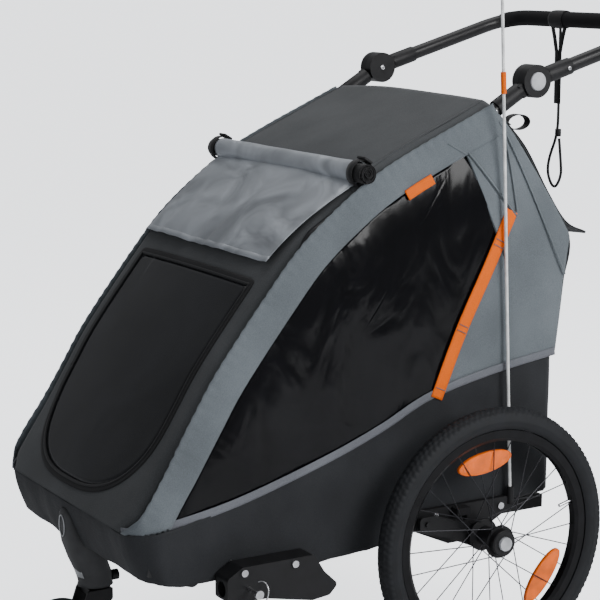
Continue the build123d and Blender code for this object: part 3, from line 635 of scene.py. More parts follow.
def plan_loop():
    """The tub seen from above: rear corner, left side, round nose, right side, rear corner."""
    left = [Vector((HALF_W - 0.001, TUB_REAR - 0.012))]
    left += [Vector((nose_width(y) - 0.001, y)) for y in (0.10, 0.0, -0.15, -0.30, -0.45, -0.585)]
    left += [Vector((nose_width(-0.645 - 0.005 * k) - 0.001, -0.645 - 0.005 * k)) for k in range(10)]
    corner = nose_width(-0.690) - 0.001
    left += [Vector((corner - 0.012, NOSE_Y + 0.004)), Vector((corner - 0.030, NOSE_Y))]
    left.insert(0, Vector((HALF_W - 0.012, TUB_REAR)))
    return left + [Vector((-p.x, p.y)) for p in reversed(left)]


PLAN = even(plan_loop(), 380)
REAR_PLAN = [PLAN[-1], PLAN[0]]


def tub_point(plan, a, b):
    """A point of the tub: a goes along the plan, b from the turned-under hem to the seam."""
    p = pick(plan, a)
    top, hem = height_at(FINE_SEAM, p.y) - 0.001, height_at(HEM, p.y)
    under = max(0.0, 0.12 - b) / 0.12
    level = max(0.0, b - 0.12) / 0.88
    z = hem + (top - hem) * level - 0.004 * math.sin(under * math.pi)
    pull = Vector((-p.x, 0)).normalized() * 0.038 * under ** 1.4
    lean = 0.0
    if p.y < -0.60:
        drop = max(0.0, 1 - level)
        lean = 0.024 * drop ** 1.7 * min(1.0, (-0.60 - p.y) / 0.08) + 0.03 * under
    return Vector((p.x + pull.x * (1 if p.y > -0.6 else 0.3), p.y + lean + AXLE_Y, z))


tub = grid_sheet("tub_cloth", 380, 40, lambda a, b: tub_point(PLAN, a, b), BLACK_CLOTH)
tub_back = grid_sheet("tub_rear_cloth", 60, 40, lambda a, b: tub_point(REAR_PLAN, a, b), BLACK_CLOTH)
for piece in (tub, tub_back):
    ruffle(piece, (0.11, 0.075, 0.34), 0.0055, 2.0, lambda p: min(1.0, max(0.0, (0.60 - p.z) / 0.1)))
    ruffle(piece, (0.05, 0.035, 0.12), 0.0018, 7.0)
    thicken(piece, 0.0018)
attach(tub, "chassis")
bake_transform(tub_back)
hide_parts("tub_side_left", "tub_side_right", "tub_front")
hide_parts("tub_rear")
print("tub", len(tub.data.polygons), "faces")


# %% [markdown]
# The rolled-up sun cover is silver-coated cloth wound round itself, with the rolled insect mesh
# showing black at both ends. A strap with a side-release buckle ties it to the roof at each end.

# %% Rolled sun cover
ROLL_LOW, ROLL_HIGH = (Vector(corner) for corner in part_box("cover_roll"))
ROLL_MID = (ROLL_LOW + ROLL_HIGH) / 2
ROLL_R = (ROLL_HIGH.z - ROLL_LOW.z) / 2


def rolled(name, half, radius, bulge, material, seed):
    """Cloth wound on the roll: a soft, uneven tube from -half to half."""
    def at(a, b):
        x = half * (2 * b - 1)
        turn = 2 * math.pi * a
        dent = noise.noise(Vector((x * 9 + seed, math.cos(turn), math.sin(turn))))
        r = radius + dent * bulge
        return ROLL_MID + Vector((x, r * math.cos(turn), r * math.sin(turn)))
    return grid_sheet(name, 64, 120, at, material)


silver_roll = rolled("roll_silver", 0.252, ROLL_R - 0.0015, 0.0016, SILVER, 1.0)
roll_mesh = rolled("roll_mesh", ROLL_HIGH.x - 0.004, ROLL_R - 0.004, 0.0012, MESH_CLOTH, 4.0)
for piece in (silver_roll, roll_mesh):
    thicken(piece, 0.0012)
roll_ends = []
for side in (-1, 1):
    def spiral(a, b, s=side):
        turn, r = 5.5 * 2 * math.pi * a, (ROLL_R - 0.005) * (0.12 + 0.85 * a)
        x = s * (ROLL_HIGH.x - 0.003 - 0.010 * b + 0.002 * math.sin(turn * 0.7))
        return ROLL_MID + Vector((x, r * math.cos(turn), r * math.sin(turn)))
    end = grid_sheet(f"roll_end_{side}", 260, 2, spiral, MESH_CLOTH)
    roll_ends.append(thicken(end, 0.0016))
roll = joined("sun_cover_roll", [silver_roll, roll_mesh, *roll_ends])
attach(roll, "cover_frame")
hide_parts("cover_roll")
for name, x in (("left", 0.262), ("right", -0.262)):
    def tie(a, b, x=x):
        turn, r = 2 * math.pi * a, ROLL_R + 0.0008
        return ROLL_MID + Vector((x + 0.018 * (b - 0.5), r * math.cos(turn), r * math.sin(turn)))
    strap = thicken(grid_sheet(f"roll_tie_{name}", 48, 2, tie, WEBBING), 0.0014, 1.0)
    bm = bmesh.new()
    bmesh.ops.create_cube(bm, size=1)
    bmesh.ops.scale(bm, verts=bm.verts, vec=(0.026, 0.020, 0.005))
    bmesh.ops.bevel(bm, geom=bm.edges[:], offset=0.0016, segments=3, profile=0.5, affect="EDGES", material=-1)
    bmesh.ops.rotate(bm, verts=bm.verts, matrix=Matrix.Rotation(-0.55, 3, "X"))
    bmesh.ops.translate(bm, verts=bm.verts, vec=ROLL_MID + Vector((x, 0.010, ROLL_R + 0.001)))
    clip = finish_mesh(bm, f"roll_clip_{name}", PLASTIC)
    for piece, slot in ((strap, "webbing"), (clip, "black_plastic")):
        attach(piece, "cover_frame")
print("roll radius", round(ROLL_R, 4))

# %% [markdown]
# The silver flap hangs out from under the roll over the top of the window. Its lower hem bows
# down in the middle, and small wrinkles fan out from the roll because the cloth is only held
# there. The sheet has its own hem, turned over and stitched.

# %% Silver flap
ROLL_SHARE = min(range(201), key=lambda k: abs(FINE_CREASE[k].x + 0.205)) / 200
HEM_SHARE = min(range(201), key=lambda k: abs(FINE_CREASE[k].x + 0.392)) / 200


def flap_point(a, b):
    """The flap: a across from the right, b down from the roll to the hem."""
    u = (2 * a - 1) * 0.98
    u -= max(0.0, u) * 0.11 * b
    bow = 0.004 * (1 - u * u) * b
    share = ROLL_SHARE + (HEM_SHARE - ROLL_SHARE) * b - bow
    fan = math.sin(26 * u + 5 * b + 3 * noise.noise(Vector((u * 2, b, 4.0))))
    soft = noise.noise(Vector((u * 3.0, b * 2.2, 1.5)))
    rise = 0.0065 + 0.0016 * fan * b + 0.0055 * soft * b + 0.004 * b * b
    return top_skin(u, share, rise)


flap = grid_sheet("silver_flap", 150, 60, flap_point, SILVER)
flap_width = sum((flap_point((k + 1) / 60, 0.3) - flap_point(k / 60, 0.3)).length for k in range(60))
flap_drop = sum((flap_point(0.5, (k + 1) / 60) - flap_point(0.5, k / 60)).length for k in range(60))
thicken(flap, 0.0008)
flap_hem = grid_sheet("silver_flap_hem", 150, 2, lambda a, b: flap_point(a, 0.955 + 0.045 * b)
                      + Vector((0, -0.0006, 0.0008)), SILVER)
thicken(flap_hem, 0.0016)
for piece in (flap, flap_hem):
    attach(piece, "cover_frame")
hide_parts("sun_flap")

# %% [markdown]
# An orange webbing strap joins the zip's rear corner to the tub on each side. It is sewn down
# flat, with box stitches across it, and doubles as a sleeve for the flag pole near its top.

# %% Orange straps and label tab
for name, side in (("left", 1), ("right", -1)):
    line = [Vector((0.082, 0.852, 0)), Vector((0.032, 0.753, 0)), Vector((-0.030, 0.636, 0)),
            Vector((-0.084, 0.514, 0))]
    line = smooth_line([(p.x, p.y) for p in line], 60)
    strap = ribbon(f"corner_strap_{name}", line, 0.026, lambda p, s=side: side_skin(p, s, 0.0042),
                   ORANGE_CLOTH, 80, 4)
    thicken(strap, 0.0018)
    stitches = []
    for share in (0.16, 0.19, 0.62, 0.65, 0.95):
        here = pick(line, share)
        across = (pick(line, min(share + 0.02, 1)) - pick(line, share - 0.02)).normalized()
        across = Vector((-across.y, across.x, 0))
        row = [here + across * 0.011 * t for t in (-1, 0, 1)]
        stitches.append(ribbon(f"stitch_{name}_{share}", row, 0.0016,
                               lambda p, s=side: side_skin(p, s, 0.0056), PIPING, 8, 1))
    sewing = thicken(joined(f"strap_stitches_{name}", stitches), 0.0006)
    for piece in (strap, sewing):
        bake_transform(piece)
tab_line = [Vector((-0.148, 0.894, 0)), Vector((-0.120, 0.908, 0)), Vector((-0.092, 0.921, 0))]
tab = ribbon("label_tab", tab_line, 0.019, lambda p: side_skin(p, 1, 0.0062), ORANGE_CLOTH, 20, 4)
thicken(tab, 0.0018)
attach(tab, "cover_frame")
print("orange pieces done")

# %% [markdown]
# The rear of the cabin is closed by a mesh panel with a cloth frame, under a stiff flap that
# leans out from the top. The flap keeps rain off the mesh. Its edges are bound, and a grab loop of
# webbing is sewn under the roof's rear edge.

# %% Rear panel and flap
REAR_LINE = smooth_line([(0.190, 0.575), (0.208, 0.700), (0.221, 0.796), (0.150, 0.905), (0.110, 0.968)], 60)


def rear_point(a, b):
    """The rear wall: a across, b upwards."""
    p = pick(REAR_LINE, b)
    crown = 0.006 * (1 - (2 * a - 1) ** 2) * math.sin(math.pi * b)
    half = side_skin(p, 1).x - 0.001
    return Vector((half * (2 * a - 1), p.x + crown + AXLE_Y, p.y))


WALL_EDGE = [Vector((0, 0)), Vector((1, 0)), Vector((1, 1)), Vector((0, 1))]
MESH_EDGE = [Vector((0.13, 0.10)), Vector((0.87, 0.10)), Vector((0.87, 0.60)), Vector((0.13, 0.60))]
MESH_BEHIND = Vector((0, -0.002, 0))
rear_frame = ring_sheet("rear_frame", WALL_EDGE, MESH_EDGE,
                        lambda p: rear_point(p.x, p.y), DARK_CLOTH, 10, 240)
rear_mesh = grid_sheet("rear_mesh", 50, 30,
                       lambda a, b: rear_point(0.12 + 0.76 * a, 0.09 + 0.52 * b) + MESH_BEHIND,
                       MESH_CLOTH)
ruffle(rear_frame, (0.2, 0.1, 0.14), 0.003, 8.0)
thicken(rear_frame, 0.0014)
thicken(rear_mesh, 0.0008)
for piece in (rear_frame, rear_mesh):
    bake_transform(piece)
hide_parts("rear_panel")

BACK_LINE = smooth_line([(0.107, 1.012), (0.157, 0.957), (0.210, 0.872), (0.257, 0.810), (0.306, 0.786)], 50)
BACK_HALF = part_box("rear_flap")[1][0] - 0.011


def back_point(a, b, lift=0.0):
    """The rear flap: a across, b from its hinge out to the tip."""
    p = pick(BACK_LINE, b)
    run = (pick(BACK_LINE, min(b + 0.02, 1)) - pick(BACK_LINE, max(b - 0.02, 0))).normalized()
    u = 2 * a - 1
    sag = 0.004 * noise.noise(Vector((u * 2.5, b * 2, 3.0))) * b - 0.006 * (1 - u * u) * b
    return Vector((BACK_HALF * u, p.x + AXLE_Y - run.y * (lift + sag), p.y + run.x * (lift + sag)))


back = thicken(grid_sheet("rear_flap_cloth", 60, 40, back_point, DARK_CLOTH), 0.0016)
edge_pieces = []
for low_a, high_a, low_b, high_b in ((0.0, 0.028, 0, 1), (0.972, 1.0, 0, 1), (0, 1, 0.955, 1.0)):
    edge_pieces.append(thicken(grid_sheet("edge", 60, 40, lambda a, b: back_point(
        low_a + (high_a - low_a) * a, low_b + (high_b - low_b) * b, 0.0016), BINDING), 0.0030, 0.0))
back_edge = joined("rear_flap_binding", edge_pieces)
for piece, slot in ((back, "grey_fabric"), (back_edge, "webbing")):
    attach(piece, "rear_flap")
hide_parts("rear_flap")
print("rear done", round(BACK_HALF, 3))


# %% [markdown]
# Turned and moulded pieces need a few more helpers: a round bar with softened ends, a swept
# tube, a ring, and a loft through flat ovals, for the steering housing's tongue shape.

# %% Helpers for round pieces
def bar_piece(name, start, end, radius, material, round_over=0.0012, sides=36):
    """A round bar between two points, with softened rims."""
    bm = bmesh.new()
    axis = end - start
    bmesh.ops.create_cone(bm, cap_ends=True, segments=sides, radius1=radius, radius2=radius,
                          depth=axis.length)
    rims = [edge for edge in bm.edges if abs(edge.verts[0].co.z - edge.verts[1].co.z) < 1e-6]
    bmesh.ops.bevel(bm, geom=rims, offset=round_over, segments=3, profile=0.5, affect="EDGES", material=-1)
    turn = axis.to_track_quat("Z", "Y").to_matrix().to_4x4()
    bmesh.ops.transform(bm, verts=bm.verts, matrix=Matrix.Translation((start + end) / 2) @ turn)
    return finish_mesh(bm, name, material)


def swept(name, route, across, up, material, sides=28):
    """An oval tube along a route of close points, across wide and up high."""
    def at(a, b):
        here = pick(route, a)
        run = (pick(route, min(a + 0.004, 1)) - pick(route, max(a - 0.004, 0))).normalized()
        side = run.cross(Vector((0, 0, 1))).normalized()
        rise = side.cross(run)
        turn = 2 * math.pi * b
        return here + side * across * math.cos(turn) + rise * up * math.sin(turn)
    return grid_sheet(name, 160, sides, at, material)


def ring_piece(name, middle, u, v, thick, material, flat=1.0):
    """A wire ring whose half axes are the vectors u and v."""
    def at(a, b):
        turn, around = 2 * math.pi * a, 2 * math.pi * b
        spoke = u * math.cos(turn) + v * math.sin(turn)
        out = spoke.normalized()
        return middle + spoke + out * thick * math.cos(around) + u.cross(v).normalized() * (
            thick * flat * math.sin(around))
    return grid_sheet(name, 64, 14, at, material)


def loft(name, sections, material, sides=40):
    """Bridge flat ovals, each (x, y, z, half width, half depth, squareness)."""
    bm = bmesh.new()
    loops = []
    for k, (x, y, z, wide, deep, square) in enumerate(sections):
        ends = k in (0, len(sections) - 1)
        made = bmesh.ops.create_circle(bm, cap_ends=ends, segments=sides, radius=1.0)["verts"]
        for vert in made:
            c, s = vert.co.x, vert.co.y
            vert.co = Vector((x + wide * math.copysign(abs(c) ** square, c),
                              y + deep * math.copysign(abs(s) ** square, s), z))
        loops.append([edge for edge in {e for v in made for e in v.link_edges}])
    for low_loop, high_loop in zip(loops, loops[1:]):
        bmesh.ops.bridge_loops(bm, edges=low_loop + high_loop)
    return finish_mesh(bm, name, material)


def fit_on(body, slot, *pieces):
    """Ride a body; the slot argument is not used."""
    for piece in pieces:
        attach(piece, body)


def row(x, y, z):
    """A point given from the ground under the axle."""
    return Vector((x, y + AXLE_Y, z))


# %% [markdown]
# The push bar is a bent oval tube with closed-cell foam over its crossbar. Each end sits in the
# socket of a disc joint, held by one rivet. A webbing strap is looped over the bar and hangs
# down to a wrist loop, so that the trailer can't run away.

# %% Push bar and wrist strap
HUB = row(0, 0.149, 1.088)
CORNER = row(0, 0.490, 1.187)
ROOF_END = row(0, 0.057, 1.033)
rise = (CORNER - HUB).normalized()
BEND = 0.075
bar_route = []
for side in (1, -1):
    x = Vector((side * TUBE_X, 0, 0))
    leg = [HUB + x + rise * 0.060, CORNER + x - rise * BEND]
    curve_in = [leg[1].lerp(CORNER + x, k / 12).lerp((CORNER + x).lerp(
        CORNER + x * (1 - BEND / TUBE_X), k / 12), k / 12) for k in range(13)]
    half_route = [leg[0].lerp(leg[1], k / 20) for k in range(20)] + curve_in
    bar_route += half_route if side == 1 else half_route[::-1]
bar_route = even(bar_route, 200)
bar = swept("push_bar", bar_route, 0.0125, 0.0138, TUBE_COAT)
grip_route = [p for p in bar_route if p.y > CORNER.y - 0.028]
grip = swept("push_bar_foam", grip_route, 0.0158, 0.0165, FOAM)
END_TALL, END_DEEP, END_THICK = 0.0148, 0.0140, 0.0017
grip_ends = [ring_piece(f"foam_end_{k}", p, Vector((0, 0, END_TALL)), Vector((0, END_DEEP, 0)), END_THICK, FOAM)
             for k, p in ((0, grip_route[0]), (1, grip_route[-1]))]
fit_on("handlebar", "frame_tube", bar)
fit_on("handlebar", "grip_rubber", grip, *grip_ends)
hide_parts("handle_grip")
for name, side in (("left", 1), ("right", -1)):
    x = Vector((side * TUBE_X, 0, 0))
    down = (ROOF_END - HUB).normalized()
    pivot = HUB + x
    socket_low = bar_piece(f"socket_low_{name}", pivot + down * 0.034, pivot + down * 0.096, 0.0158,
                           PLASTIC)
    socket_up = bar_piece(f"socket_up_{name}", pivot + rise * 0.034, pivot + rise * 0.092, 0.0162,
                          PLASTIC)
    out = Vector((side, 0, 0))
    rivets = [bar_piece(f"rivet_{name}_{k}", place + out * start, place + out * (start + 0.003),
                        0.0042, STEEL)
              for k, place, start in ((0, pivot + down * 0.104, 0.0105),
                                      (1, pivot + rise * 0.080, 0.0150))]
    face = bar_piece(f"hub_screw_{name}", pivot - out * 0.0188, pivot - out * 0.0204, 0.0048, STEEL)
    fit_on("cover_frame", "black_plastic", socket_low)
    fit_on("cover_frame", "bright_steel", rivets[0])
    fit_on("handlebar", "black_plastic", socket_up)
    fit_on("handlebar", "bright_steel", rivets[1], face)

STRAP_ROUTE = [(-0.084, 1.1715), (-0.084, 1.010), (-0.085, 0.945), (-0.114, 0.890), (-0.117, 0.854),
               (-0.092, 0.824), (-0.069, 0.856), (-0.072, 0.888), (-0.0795, 0.936)]
STRAP_WIDE, STRAP_LONG = 0.006, 0.469
line = bpy.data.curves.new("wrist_strap_line", "CURVE")
line.dimensions, line.bevel_depth, line.resolution_u, line.bevel_resolution = "3D", STRAP_WIDE / 2, 24, 6
spline = line.splines.new("NURBS")
spline.points.add(len(STRAP_ROUTE) - 1)
for point, (x, z) in zip(spline.points, STRAP_ROUTE):
    point.co = (x, CORNER.y, z, 1)
spline.order_u, spline.use_endpoint_u = 3, True
strap = bpy.data.objects.new("wrist_strap_cord", line)
bpy.context.scene.collection.objects.link(strap)
line.materials.append(WEBBING)
band = ring_piece("wrist_strap_band", Vector((-0.084, CORNER.y, CORNER.z)), Vector((0, 0.0172, 0)),
                  Vector((0, 0, 0.0180)), 0.0014, WEBBING, 16.0)
arms = []
for side in (-1, 1):
    drop = [Vector((-0.084 + side * 0.020, 1.174)), Vector((-0.084 + side * 0.012, 1.150)),
            Vector((-0.084 + side * 0.004, 1.118)), Vector((-0.084 + side * 0.0035, 1.010))]
    arm = ribbon(f"strap_arm_{side}", even([p.to_3d() for p in drop], 40), 0.011,
                 lambda p, s=side: Vector((p.x, CORNER.y + 0.0012 * s - 0.0036, p.y)), WEBBING, 40, 3)
    arms.append(thicken(arm, 0.0013))
join = bar_piece("wrist_strap_slide", Vector((-0.0835, CORNER.y, 0.940)), Vector((-0.0835, CORNER.y, 0.956)),
                 0.0066, PLASTIC)
fit_on("handlebar", "webbing", strap, band, *arms, join)
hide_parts("wrist_strap")
print("bar route", len(bar_route), "points")

# %% [markdown]
# The steering housing is one moulding that tapers from a flat tongue on the nose into a round
# neck. It has a plain oval badge recess and a sticker. The caster's swivel sits below its collar.

# %% Steering housing and small hardware
housing = loft("steering_housing", [
    (0, -0.6990 + AXLE_Y, 0.320, 0.010, 0.004, 0.9), (0, -0.6970 + AXLE_Y, 0.308, 0.022, 0.009, 0.8),
    (0, -0.6900 + AXLE_Y, 0.280, 0.031, 0.016, 0.75), (0, -0.6760 + AXLE_Y, 0.252, 0.034, 0.026, 0.75),
    (0, -0.6580 + AXLE_Y, 0.222, 0.034, 0.034, 0.8), (0, -0.6450 + AXLE_Y, 0.190, 0.031, 0.033, 0.9),
    (0, -0.6420 + AXLE_Y, 0.172, 0.030, 0.032, 1.0), (0, -0.6420 + AXLE_Y, 0.165, 0.032, 0.034, 1.0)],
    PLASTIC_DARK)
tilt = Vector((0, 0.0005, -0.020))
badge = ring_piece("housing_badge", row(0, -0.7064, 0.287), Vector((0.0115, 0, 0)), tilt, 0.0013, MARK)
STICKER_HALF, STICKER_Y, STICKER_Z, STICKER_TALL = 0.018, -0.6797, 0.192, 0.016
STICKER_BEND, STICKER_LEAN = 0.0047, 0.0056


def sticker_point(a, b):
    """The sticker bends round the neck and leans with it."""
    return row(STICKER_HALF * (2 * a - 1),
               STICKER_Y + STICKER_BEND * (2 * a - 1) ** 2 - STICKER_LEAN * (b - 0.5),
               STICKER_Z + STICKER_TALL * (b - 0.5))


sticker = grid_sheet("housing_sticker", 10, 8, sticker_point, MARK)
thicken(sticker, 0.0006)
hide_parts("steerer_housing")
fit_on("chassis", "black_plastic", housing, badge, sticker)
ferrule = bar_piece("pole_ferrule", row(0.311, 0.0510, 1.070), row(0.311, 0.0493, 1.110), 0.0052,
                    ORANGE_CLOTH)
pin_ring = ring_piece("tow_pin_ring", row(0.352, -0.487, 0.222), Vector((0, 0.006, 0.022)),
                      Vector((0.016, 0.008, 0)), 0.0013, STEEL)
loop = grid_sheet("grab_loop", 40, 3, lambda a, b: row(
    0.220 + 0.018 * (b - 0.5), 0.150 + 0.026 * math.cos(2 * math.pi * a),
    1.008 + 0.015 * math.sin(2 * math.pi * a)), WEBBING)
thicken(loop, 0.0014)
fit_on("chassis", "pennant", ferrule)
fit_on("tow_pin", "bright_steel", pin_ring)
fit_on("cover_frame", "webbing", loop)
pulls = [bar_piece(f"zip_pull_{k}", row(-0.222 - 0.008 * k, -0.668, 0.372), row(
    -0.224 - 0.008 * k, -0.682, 0.350), 0.0024, PLASTIC) for k in (0, 1)]
fit_on("cover_frame", "black_plastic", *pulls)

# %% [markdown]
# The tyres are 47-406 street tyres. Small tread blocks sit in staggered rows on the crown, and
# the sidewalls are smooth, with one raised line above the rim.

# %% Tyres
BLOCKS, TREAD_ROWS, BLOCK_HIGH = 124, 5, 0.0016
TREAD_EDGE, OPENING = math.radians(60), math.radians(140)


def tread(a, cross):
    """How far the tread stands up at a place round the tyre and across it."""
    if abs(cross) > TREAD_EDGE:
        return 0.0009 if 1.50 < abs(cross) < 1.66 else 0.0
    lane = (cross + TREAD_EDGE) / (2 * TREAD_EDGE) * TREAD_ROWS
    step = (a * BLOCKS + 0.5 * (int(lane) % 2)) % 1.0
    return BLOCK_HIGH if 0.14 < lane % 1.0 < 0.86 and step < 0.61 else 0.0


def tyre_sheet(name, x):
    """One tyre: a goes round the wheel and b across the section."""
    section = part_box(f"tyre_{name}")
    fat = (section[1][0] - section[0][0]) / 2 - BLOCK_HIGH

    def at(a, b):
        cross = OPENING * (2 * b - 1)
        r = fat + tread(a, cross)
        far = TYRE_R - BLOCK_HIGH - fat + r * math.cos(cross)
        turn = 2 * math.pi * a
        return Vector((x + r * math.sin(cross), AXLE_Y + far * math.cos(turn), AXLE_Z + far * math.sin(turn)))
    return grid_sheet(f"tyre_tread_{name}", BLOCKS * 5, 40, at, TYRE)


LENS_TURNS = (98, -38)
LENS_LONG, LENS_HIGH, LENS_DEEP, LENS_REACH = 0.060, 0.020, 0.0086, 0.150


def lens_piece(name, hub, angle):
    """An oval spoke reflector, clipped along the wheel's turn at an angle from the rear."""
    bm = bmesh.new()
    bmesh.ops.create_cone(bm, cap_ends=True, segments=56, radius1=1, radius2=1, depth=LENS_DEEP)
    bmesh.ops.scale(bm, verts=bm.verts, vec=(LENS_LONG, LENS_HIGH, 1))
    rims = [edge for edge in bm.edges if abs(edge.verts[0].co.z - edge.verts[1].co.z) < 1e-6]
    bmesh.ops.bevel(bm, geom=rims, offset=0.0022, segments=3, profile=0.5, affect="EDGES", material=-1)
    caps = sorted((f for f in bm.faces if abs(f.normal.z) > 0.99), key=lambda f: -f.calc_area())[:2]
    for cap in caps:
        bmesh.ops.inset_individual(bm, faces=[cap], thickness=0.0022, depth=-0.0006)
    out = Vector((0, math.cos(angle), math.sin(angle)))
    along = Vector((0, -math.sin(angle), math.cos(angle)))
    turn = Matrix((along, out, along.cross(out))).transposed().to_4x4()
    bmesh.ops.transform(bm, verts=bm.verts, matrix=Matrix.Translation(hub + out * LENS_REACH) @ turn)
    return finish_mesh(bm, name, LENS, smooth=False)


for name, side in (("left", 1), ("right", -1)):
    tyre = tyre_sheet(name, side * abs(WHEEL_X))
    fit_on(f"wheel_{name}", "tyre_rubber", tyre)
    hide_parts(f"tyre_{name}")
    hub = Vector((side * abs(WHEEL_X), AXLE_Y, AXLE_Z))
    aim = Vector((0, math.cos(0.25), math.sin(0.25)))
    valve = bar_piece(f"valve_{name}", hub + aim * 0.160, hub + aim * 0.204, 0.0032, STEEL)
    fit_on(f"wheel_{name}", "bright_steel", valve)
    lenses = [lens_piece(f"reflector_{name}_{k}", hub, math.radians(angle))
              for k, angle in enumerate(LENS_TURNS)]
    fit_on(f"wheel_{name}", "reflector", *lenses)
    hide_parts(f"spoke_reflectors_{name}")
print("tyre faces", len(tyre.data.polygons))

# %% [markdown]
# Inside are a foam seat for two and its backrest, in grey cloth with sewn channels, each child's
# shoulder straps, and a coated floor. The cushions are crowned and pull in between their corners.

# %% Seat, straps, floor and pennant
def pad(name, size, channels, material, turn, place, depth=0.004):
    """A stuffed pad: crowned on its top face, with sewn channels across its width."""
    bm = bmesh.new()
    bmesh.ops.create_cube(bm, size=2)
    bmesh.ops.subdivide_edges(bm, edges=bm.edges[:], cuts=31, use_grid_fill=True)
    for vert in bm.verts:
        u, v, w = vert.co
        round_off = (1 - 0.5 * abs(u) ** 14) * (1 - 0.5 * abs(v) ** 14)
        crown = 0.72 + 0.28 * (1 - u ** 4) * (1 - v ** 4) if w > 0 else 1.0
        sewn = sum(math.exp(-((u - c) / 0.022) ** 2) for c in channels) if w > 0 else 0.0
        pull = 1 - 0.012 * (1 - v * v) * abs(u) ** 3, 1 - 0.02 * (1 - u * u) * abs(v) ** 3
        vert.co = Vector((size[0] * u * pull[0], size[1] * v * pull[1],
                          size[2] * w * crown * round_off - depth * sewn * (1 - v ** 8)))
    bmesh.ops.rotate(bm, verts=bm.verts, matrix=Matrix.Rotation(turn, 3, "X"))
    bmesh.ops.translate(bm, verts=bm.verts, vec=place)
    piece = finish_mesh(bm, name, material)
    ruffle(piece, (0.06, 0.05, 0.05), 0.0012, 6.0)
    return piece


CHANNELS = (-0.75, -0.5, -0.25, 0.0, 0.25, 0.5, 0.75)
PAD_GAP = 0.002
low, high = (Vector(corner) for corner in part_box("seat_cushion"))
half = (high - low) / 2
cushion = pad("seat_pad", (half.x - PAD_GAP, half.y - PAD_GAP, half.z), CHANNELS, SEAT_CLOTH, 0.0,
              (low + high) / 2)
TILT = math.radians(8)
low, high = (Vector(corner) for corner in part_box("seat_back"))
BACK_MID = (low + high) / 2
back_pad = pad("back_pad", (0.243, 0.198, 0.0138), CHANNELS, SEAT_CLOTH, math.pi / 2 - TILT, BACK_MID, 0.003)
fit_on("chassis", "seat_fabric", cushion)
fit_on("seat_back", "seat_fabric", back_pad)
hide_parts("seat_cushion")
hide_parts("seat_back")
harness = []
for x in (-0.1725, -0.0725, 0.0725, 0.1725):
    def lies(a, b, x=x):
        z = 0.729 - 0.247 * a
        front = BACK_MID.y - 0.0142 + (z - BACK_MID.z) * math.tan(TILT)
        wide = 0.020 * (1.0 if a > 0.45 else 1.45)
        return Vector((x * (1 - 0.05 * a) + wide * (b - 0.5),
                       front - 0.0022 - 0.003 * math.sin(math.pi * a), z))
    thick = thicken(grid_sheet(f"harness_{x}", 40, 4, lies, WEBBING), 0.0020)
    harness.append(thick)
harness = joined("shoulder_harness", harness)
fit_on("seat_back", "webbing", harness)
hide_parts("shoulder_straps")

low, high = (Vector(corner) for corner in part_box("floor_panel"))
mat_piece = grid_sheet("floor_mat", 60, 80, lambda a, b: Vector((
    low.x + 0.002 + (high.x - low.x - 0.004) * a, low.y + (high.y - low.y) * b,
    high.z - 0.0002 + 0.0012 * abs(math.sin(b * 28)) * abs(math.sin(a * 20)))), LINING)
thicken(mat_piece, 0.0028)
fit_on("chassis", "tub_fabric", mat_piece)
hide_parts("floor_panel")

low, high = (Vector(corner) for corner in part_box("flag_pennant"))
MIDDLE_Z = (low.z + high.z) / 2


def pennant_point(a, b):
    """The pennant waves more towards its tip."""
    wide = (high.z - low.z) * (1 - 0.985 * a)
    wave = 0.007 * a * math.sin(8.5 * a + 1.2 * b)
    return Vector((low.x + 0.001 + wave, low.y + 0.001 + (high.y - low.y - 0.002) * a,
                   MIDDLE_Z + wide * (b - 0.5)))


pennant = grid_sheet("pennant_cloth", 70, 24, pennant_point, PENNANT)
thicken(pennant, 0.0006)
fit_on("chassis", "pennant", pennant)
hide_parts("flag_pennant")


# %% [markdown]
# A plain pale floor and backdrop, large soft lights, and the camera at a standing person's
# height, ahead of the trailer and to its left.

# %% Stage, light and camera
FLOOR_GLOW = 2.0
AIR_LIGHT, AIR_SEEN = 0.38, 2.0


def seen_glow(tree, socket, unseen, seen):
    """Give a strength one value for the camera and another for everything else."""
    path = tree.nodes.new("ShaderNodeLightPath")
    span = tree.nodes.new("ShaderNodeMapRange")
    span.inputs["To Min"].default_value, span.inputs["To Max"].default_value = unseen, seen
    tree.links.new(path.outputs["Is Camera Ray"], span.inputs["Value"])
    tree.links.new(span.outputs["Result"], socket)


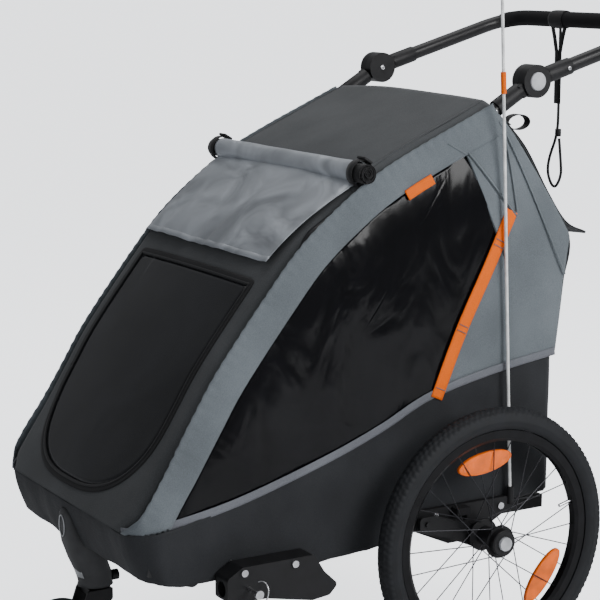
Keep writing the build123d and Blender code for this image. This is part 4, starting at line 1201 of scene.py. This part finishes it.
bm = bmesh.new()
FLOOR_REACH, FLOOR_DROP = 300, 0.0005
bmesh.ops.create_grid(bm, x_segments=2, y_segments=2, size=FLOOR_REACH)
bmesh.ops.translate(bm, verts=bm.verts, vec=(0, 0, -FLOOR_DROP))
paper, _, _, paper_shader = new_material("studio_floor", (0.80, 0.81, 0.83), 0.9)
paper_shader.inputs["Emission Color"].default_value = (0.95, 0.97, 1.0, 1)
seen_glow(paper.node_tree, paper_shader.inputs["Emission Strength"], 0.0, FLOOR_GLOW)
finish_mesh(bm, "floor", paper)


def soft_light(name, place, aim, size, power):
    """A square area light that points at a spot."""
    data = bpy.data.lights.new(name, "AREA")
    data.size, data.energy = size, power
    lamp = bpy.data.objects.new(name, data)
    bpy.context.scene.collection.objects.link(lamp)
    lamp.location = place
    lamp.rotation_euler = (Vector(aim) - Vector(place)).to_track_quat("-Z", "Y").to_euler()
    return lamp


CABIN_MIDDLE = (0, 0, 0.5)
for lamp_name, lamp_place, lamp_size, watts in (("key_light", (3.4, 1.3, 2.3), 2.0, 130),
                                                ("fill_light", (2.4, -3.6, 2.0), 2.6, 14),
                                                ("top_light", (-0.6, 0.6, 3.8), 2.6, 50)):
    soft_light(lamp_name, lamp_place, CABIN_MIDDLE, lamp_size, watts)
world = bpy.data.worlds.new("studio_air")
bpy.context.scene.world = world
world.use_nodes = True
air = world.node_tree.nodes["Background"]
air.inputs["Color"].default_value = (0.94, 0.96, 1.0, 1)
seen_glow(world.node_tree, air.inputs["Strength"], AIR_LIGHT, AIR_SEEN)

EYE = Vector((3.0925, -2.0199 + AXLE_Y, 1.3142))
LOOK = Vector((-0.84767, 0.49948, -0.17883))
SENSOR, LENS = 36.0, 112.9
camera = bpy.data.objects.new("camera", bpy.data.cameras.new("camera"))
bpy.context.scene.collection.objects.link(camera)
camera.location = EYE
camera.rotation_euler = LOOK.to_track_quat("-Z", "Y").to_euler()
camera.data.sensor_width, camera.data.lens = SENSOR, LENS
bpy.context.scene.camera = camera
